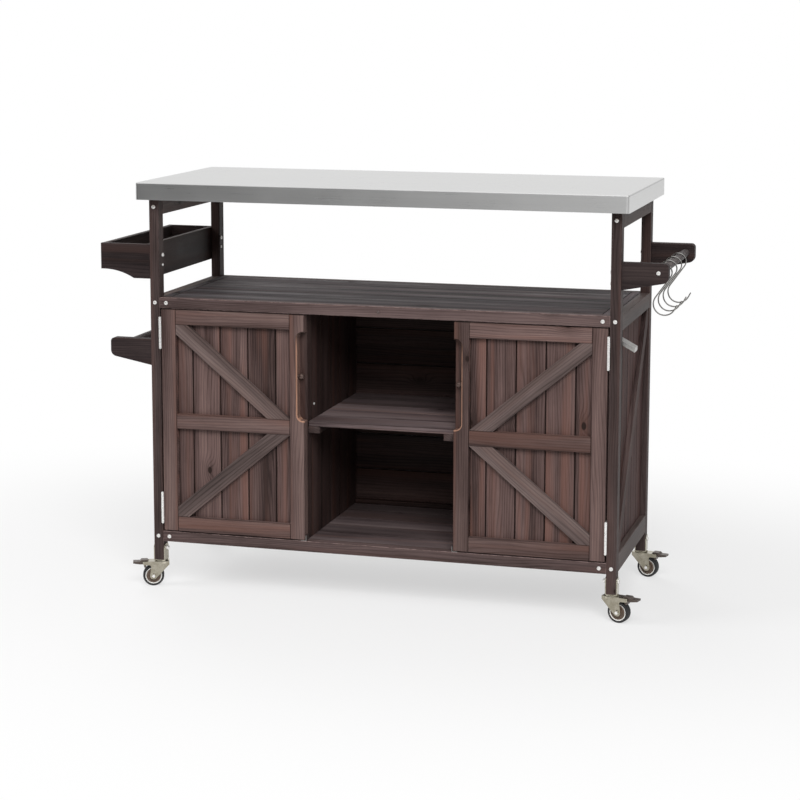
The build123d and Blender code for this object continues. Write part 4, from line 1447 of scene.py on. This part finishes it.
@dataclass(frozen=True)
class Fasteners:
    """Bolts, screws, hinges and other small metalwork on the frame."""

    def finish(self) -> None:
        """Dresses the small metalwork."""
        bright = BRIGHT_STEEL.material()
        for node in ("frame_bolts", "rack_bolts", "post_hinge_leaves", "saddle_bolts"):
            dress(node, bright)
        dress("door_stops", STOP_STEEL.material())
        dress("small_screws", BRIGHT_STEEL.material(stained_middle=True))
        dress("bottle_opener", OPENER_METAL.material())
        dress("caster_saddles", ZINC_PLATE_AND_EDGE_HIGHLIGHT.material())


def placed_axes(place: np.ndarray, x: np.ndarray, y: np.ndarray, z: np.ndarray) -> Matrix:
    """A matrix from a place and three axes.

    Args:
        place: Where it stands.
        x: Its own X direction.
        y: Its own Y direction.
        z: Its own Z direction.

    Returns:
        The matrix.
    """
    table = np.eye(4)
    table[:3] = np.stack([x, y, z, place], -1)
    return Matrix(table.tolist())


@dataclass(frozen=True)
class Lamp:
    """A soft square lamp that faces a point and doesn't show in gloss."""

    name: str
    place: tuple[float, float, float]
    power: float
    size: float = 2.4
    target: tuple[float, float, float] = (0.0, 0.0, 0.45)

    def light(self) -> None:
        """Hangs the lamp upright, its face turned to its target."""
        data = bpy.data.lights.new(self.name, "AREA")
        data.size = self.size
        data.energy = self.power
        lamp = bpy.data.objects.new(self.name, data)
        bpy.context.scene.collection.objects.link(lamp)
        back = np.subtract(self.place, self.target)
        z = back / np.linalg.norm(back)
        level = np.cross((0.0, 0.0, 1.0), z)
        x = level / np.linalg.norm(level)
        lamp.matrix_world = placed_axes(np.array(self.place), x, np.cross(z, x), z)
        lamp.visible_glossy = False


@dataclass(frozen=True)
class Surround:
    """A world that is white to the camera, and a room with a bright rear for gloss and soft light.

    Each span is a smooth step over one part of the direction that a ray leaves in.
    """

    rear_step: Span = (-0.40, 0.25)
    rear_fade: Span = (-0.10, 0.50)
    rear_tones: Span = (1.0, 0.47)
    right_step: Span = (-0.40, -0.03)
    right_fade: Span = (0.2, 0.7)
    right_tones: Span = (1.0, 0.45)
    right_share: float = 0.84
    above_step: Span = (0.12, 0.5)
    above_share: float = 0.6
    least: float = 0.03
    diffuse_tones: Span = (1.0, 0.26)

    def build(self) -> None:
        """Adds the room's bright right and ceiling to its least tone, and puts the rear behind."""
        world = bpy.data.worlds.new("surround")
        bpy.context.scene.world = world
        world.use_nodes = True
        world.node_tree.nodes.clear()
        graph = Graph(world.node_tree)
        x, y, z = graph.parts(graph.add("ShaderNodeTexCoord").outputs["Generated"])
        right = graph.times(
            graph.span(x, self.right_step),
            graph.ranged(graph.span(x, self.right_fade), self.right_tones),
            self.right_share,
        )
        above = graph.times(graph.span(z, self.above_step), self.above_share)
        room = graph.total(self.least, right, above)
        rear = graph.ranged(graph.span(x, self.rear_fade), self.rear_tones)
        tone = graph.lerp(graph.span(y, self.rear_step), room, rear)
        path = graph.add("ShaderNodeLightPath").outputs
        soft = graph.times(tone, graph.ranged(path["Is Diffuse Ray"], self.diffuse_tones))
        shown = graph.grey(graph.most(path["Is Camera Ray"], soft))
        back = graph.add("ShaderNodeBackground", {"Color": shown, "Strength": 1.0})
        graph.add("ShaderNodeOutputWorld", {"Surface": back.outputs[0]})


@dataclass(frozen=True)
class Floor:
    """A flat pale floor: white to the camera away from the part, with the part's shadow near it."""

    reach: tuple[float, float, float, float] = (-9.0, 9.0, -2.0, 14.0)
    tone: float = 0.80
    roughness: float = 0.9
    shadow_share: float = 0.40
    shadow_squash: tuple[float, float, float] = (0.75, 1.0, 0.0)
    shadow_fade: Span = (0.5, 1.6)

    def build(self) -> None:
        """Lays one quad, seen only from above."""
        x0, x1, y0, y1 = self.reach
        mesh = bpy.data.meshes.new("studio_floor")
        corners = [(x0, y0, 0.0), (x1, y0, 0.0), (x1, y1, 0.0), (x0, y1, 0.0)]
        mesh.from_pydata(corners, [], [(0, 1, 2, 3)])
        floor = bpy.data.objects.new("studio_floor", mesh)
        bpy.context.scene.collection.objects.link(floor)
        mesh.materials.append(self.material())

    def material(self) -> bpy.types.Material:
        """Mixes a dull pale surface with white where the camera or gloss looks at it.

        Returns:
            The material.
        """
        material, graph, shader = new_material("studio_floor")
        shader.inputs["Base Color"].default_value = (self.tone, self.tone, self.tone, 1.0)
        shader.inputs["Roughness"].default_value = self.roughness
        away = graph.length(graph.vector("MULTIPLY", graph.place(), self.shadow_squash))
        white = graph.lerp(graph.span(away, self.shadow_fade), 1 - self.shadow_share, 1.0)
        path = graph.add("ShaderNodeLightPath").outputs
        seen = graph.most(path["Is Camera Ray"], path["Is Glossy Ray"], path["Is Transmission Ray"])
        glow = graph.add("ShaderNodeEmission", {"Color": (1.0, 1.0, 1.0), "Strength": 1.0})
        inputs = {0: graph.times(seen, white), 1: shader.outputs[0], 2: glow.outputs[0]}
        shown = graph.add("ShaderNodeMixShader", inputs)
        clear = graph.add("ShaderNodeBsdfTransparent")
        under = graph.add("ShaderNodeNewGeometry").outputs["Backfacing"]
        inputs = {0: under, 1: shown.outputs[0], 2: clear.outputs[0]}
        both = graph.add("ShaderNodeMixShader", inputs)
        output = next(n for n in material.node_tree.nodes if n.type == "OUTPUT_MATERIAL")
        graph.feed(output.inputs["Surface"], both.outputs[0])
        return material


@dataclass(frozen=True)
class Camera:
    """The camera that the photograph's printed sizes fit; lengths in its picture are in pixels."""

    image: float = 800.0
    sensor: float = 36.0
    focal: float = 2120.7
    principal: float = 320.0
    place: tuple[float, float, float] = (1.2856, -4.5631, 1.3194)
    yaw: float = 15.837
    pitch: float = 8.570
    roll: float = 0.081

    def build(self) -> None:
        """Turns the camera by its yaw, pitch and roll, in degrees."""
        data = bpy.data.cameras.new("photo_camera")
        data.sensor_width = self.sensor
        data.lens = self.focal * self.sensor / self.image
        data.shift_y = (self.principal - self.image / 2) / self.image
        yaw, pitch, roll = np.radians((self.yaw, self.pitch, self.roll))
        level = np.array((np.cos(yaw), np.sin(yaw), 0.0))
        flat, drop = np.cos(pitch), np.sin(pitch)
        ahead = np.array((-np.sin(yaw) * flat, np.cos(yaw) * flat, -drop))
        up = np.cross(level, ahead)
        x = np.cos(roll) * level + np.sin(roll) * up
        y = np.cos(roll) * up - np.sin(roll) * level
        camera = bpy.data.objects.new("photo_camera", data)
        bpy.context.scene.collection.objects.link(camera)
        camera.matrix_world = placed_axes(np.array(self.place), x, y, -ahead)
        bpy.context.scene.camera = camera


@dataclass(frozen=True)
class Studio:
    """A pale floor, three soft lamps, a pale surround and the camera at the photograph's place."""

    lamps: tuple[Lamp, ...] = (
        Lamp("key_lamp", (1.4, -3.6, 3.4), 185.0),
        Lamp("fill_lamp", (-3.9, -1.9, 2.9), 95.0),
        Lamp("back_lamp", (-2.2, 3.4, 2.8), 60.0),
    )

    def build(self) -> None:
        """Sets the view, floor, lamps, surround and camera."""
        bpy.context.scene.view_settings.view_transform = "Standard"
        Floor().build()
        for lamp in self.lamps:
            lamp.light()
        Surround().build()
        Camera().build()


def main() -> None:
    """Dresses the nodes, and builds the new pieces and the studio."""
    logging.basicConfig(level=logging.INFO, format="%(message)s")
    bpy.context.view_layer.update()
    Worktop().finish()
    Carcass().finish()
    CentreBay().finish()
    for side in Side:
        Door(side).finish()
    SpiceRack().finish()
    RodRail("hook", 34).finish()
    RodRail("towel", 36).finish()
    Fasteners().finish()
    zinc, brown = ZINC_PLATE_AND_EDGE_HIGHLIGHT.material(), BROWNED_METAL.material()
    rubber, ring, hub = TYRE_RUBBER.material(), RING_PLASTIC.material(), HUB_PLASTIC.material()
    nut = BRIGHT_STEEL.material()
    for corner in ("front_left", "front_right", "rear_left", "rear_right"):
        caster = Caster(corner)
        caster.finish(zinc, brown)
        caster.build(rubber, ring, hub, nut)
    wire_steel = WIRE_STEEL.material()
    for number in range(1, 5):
        WireHook(number).build(wire_steel)
    Studio().build()


if __name__ == "__main__":
    main()
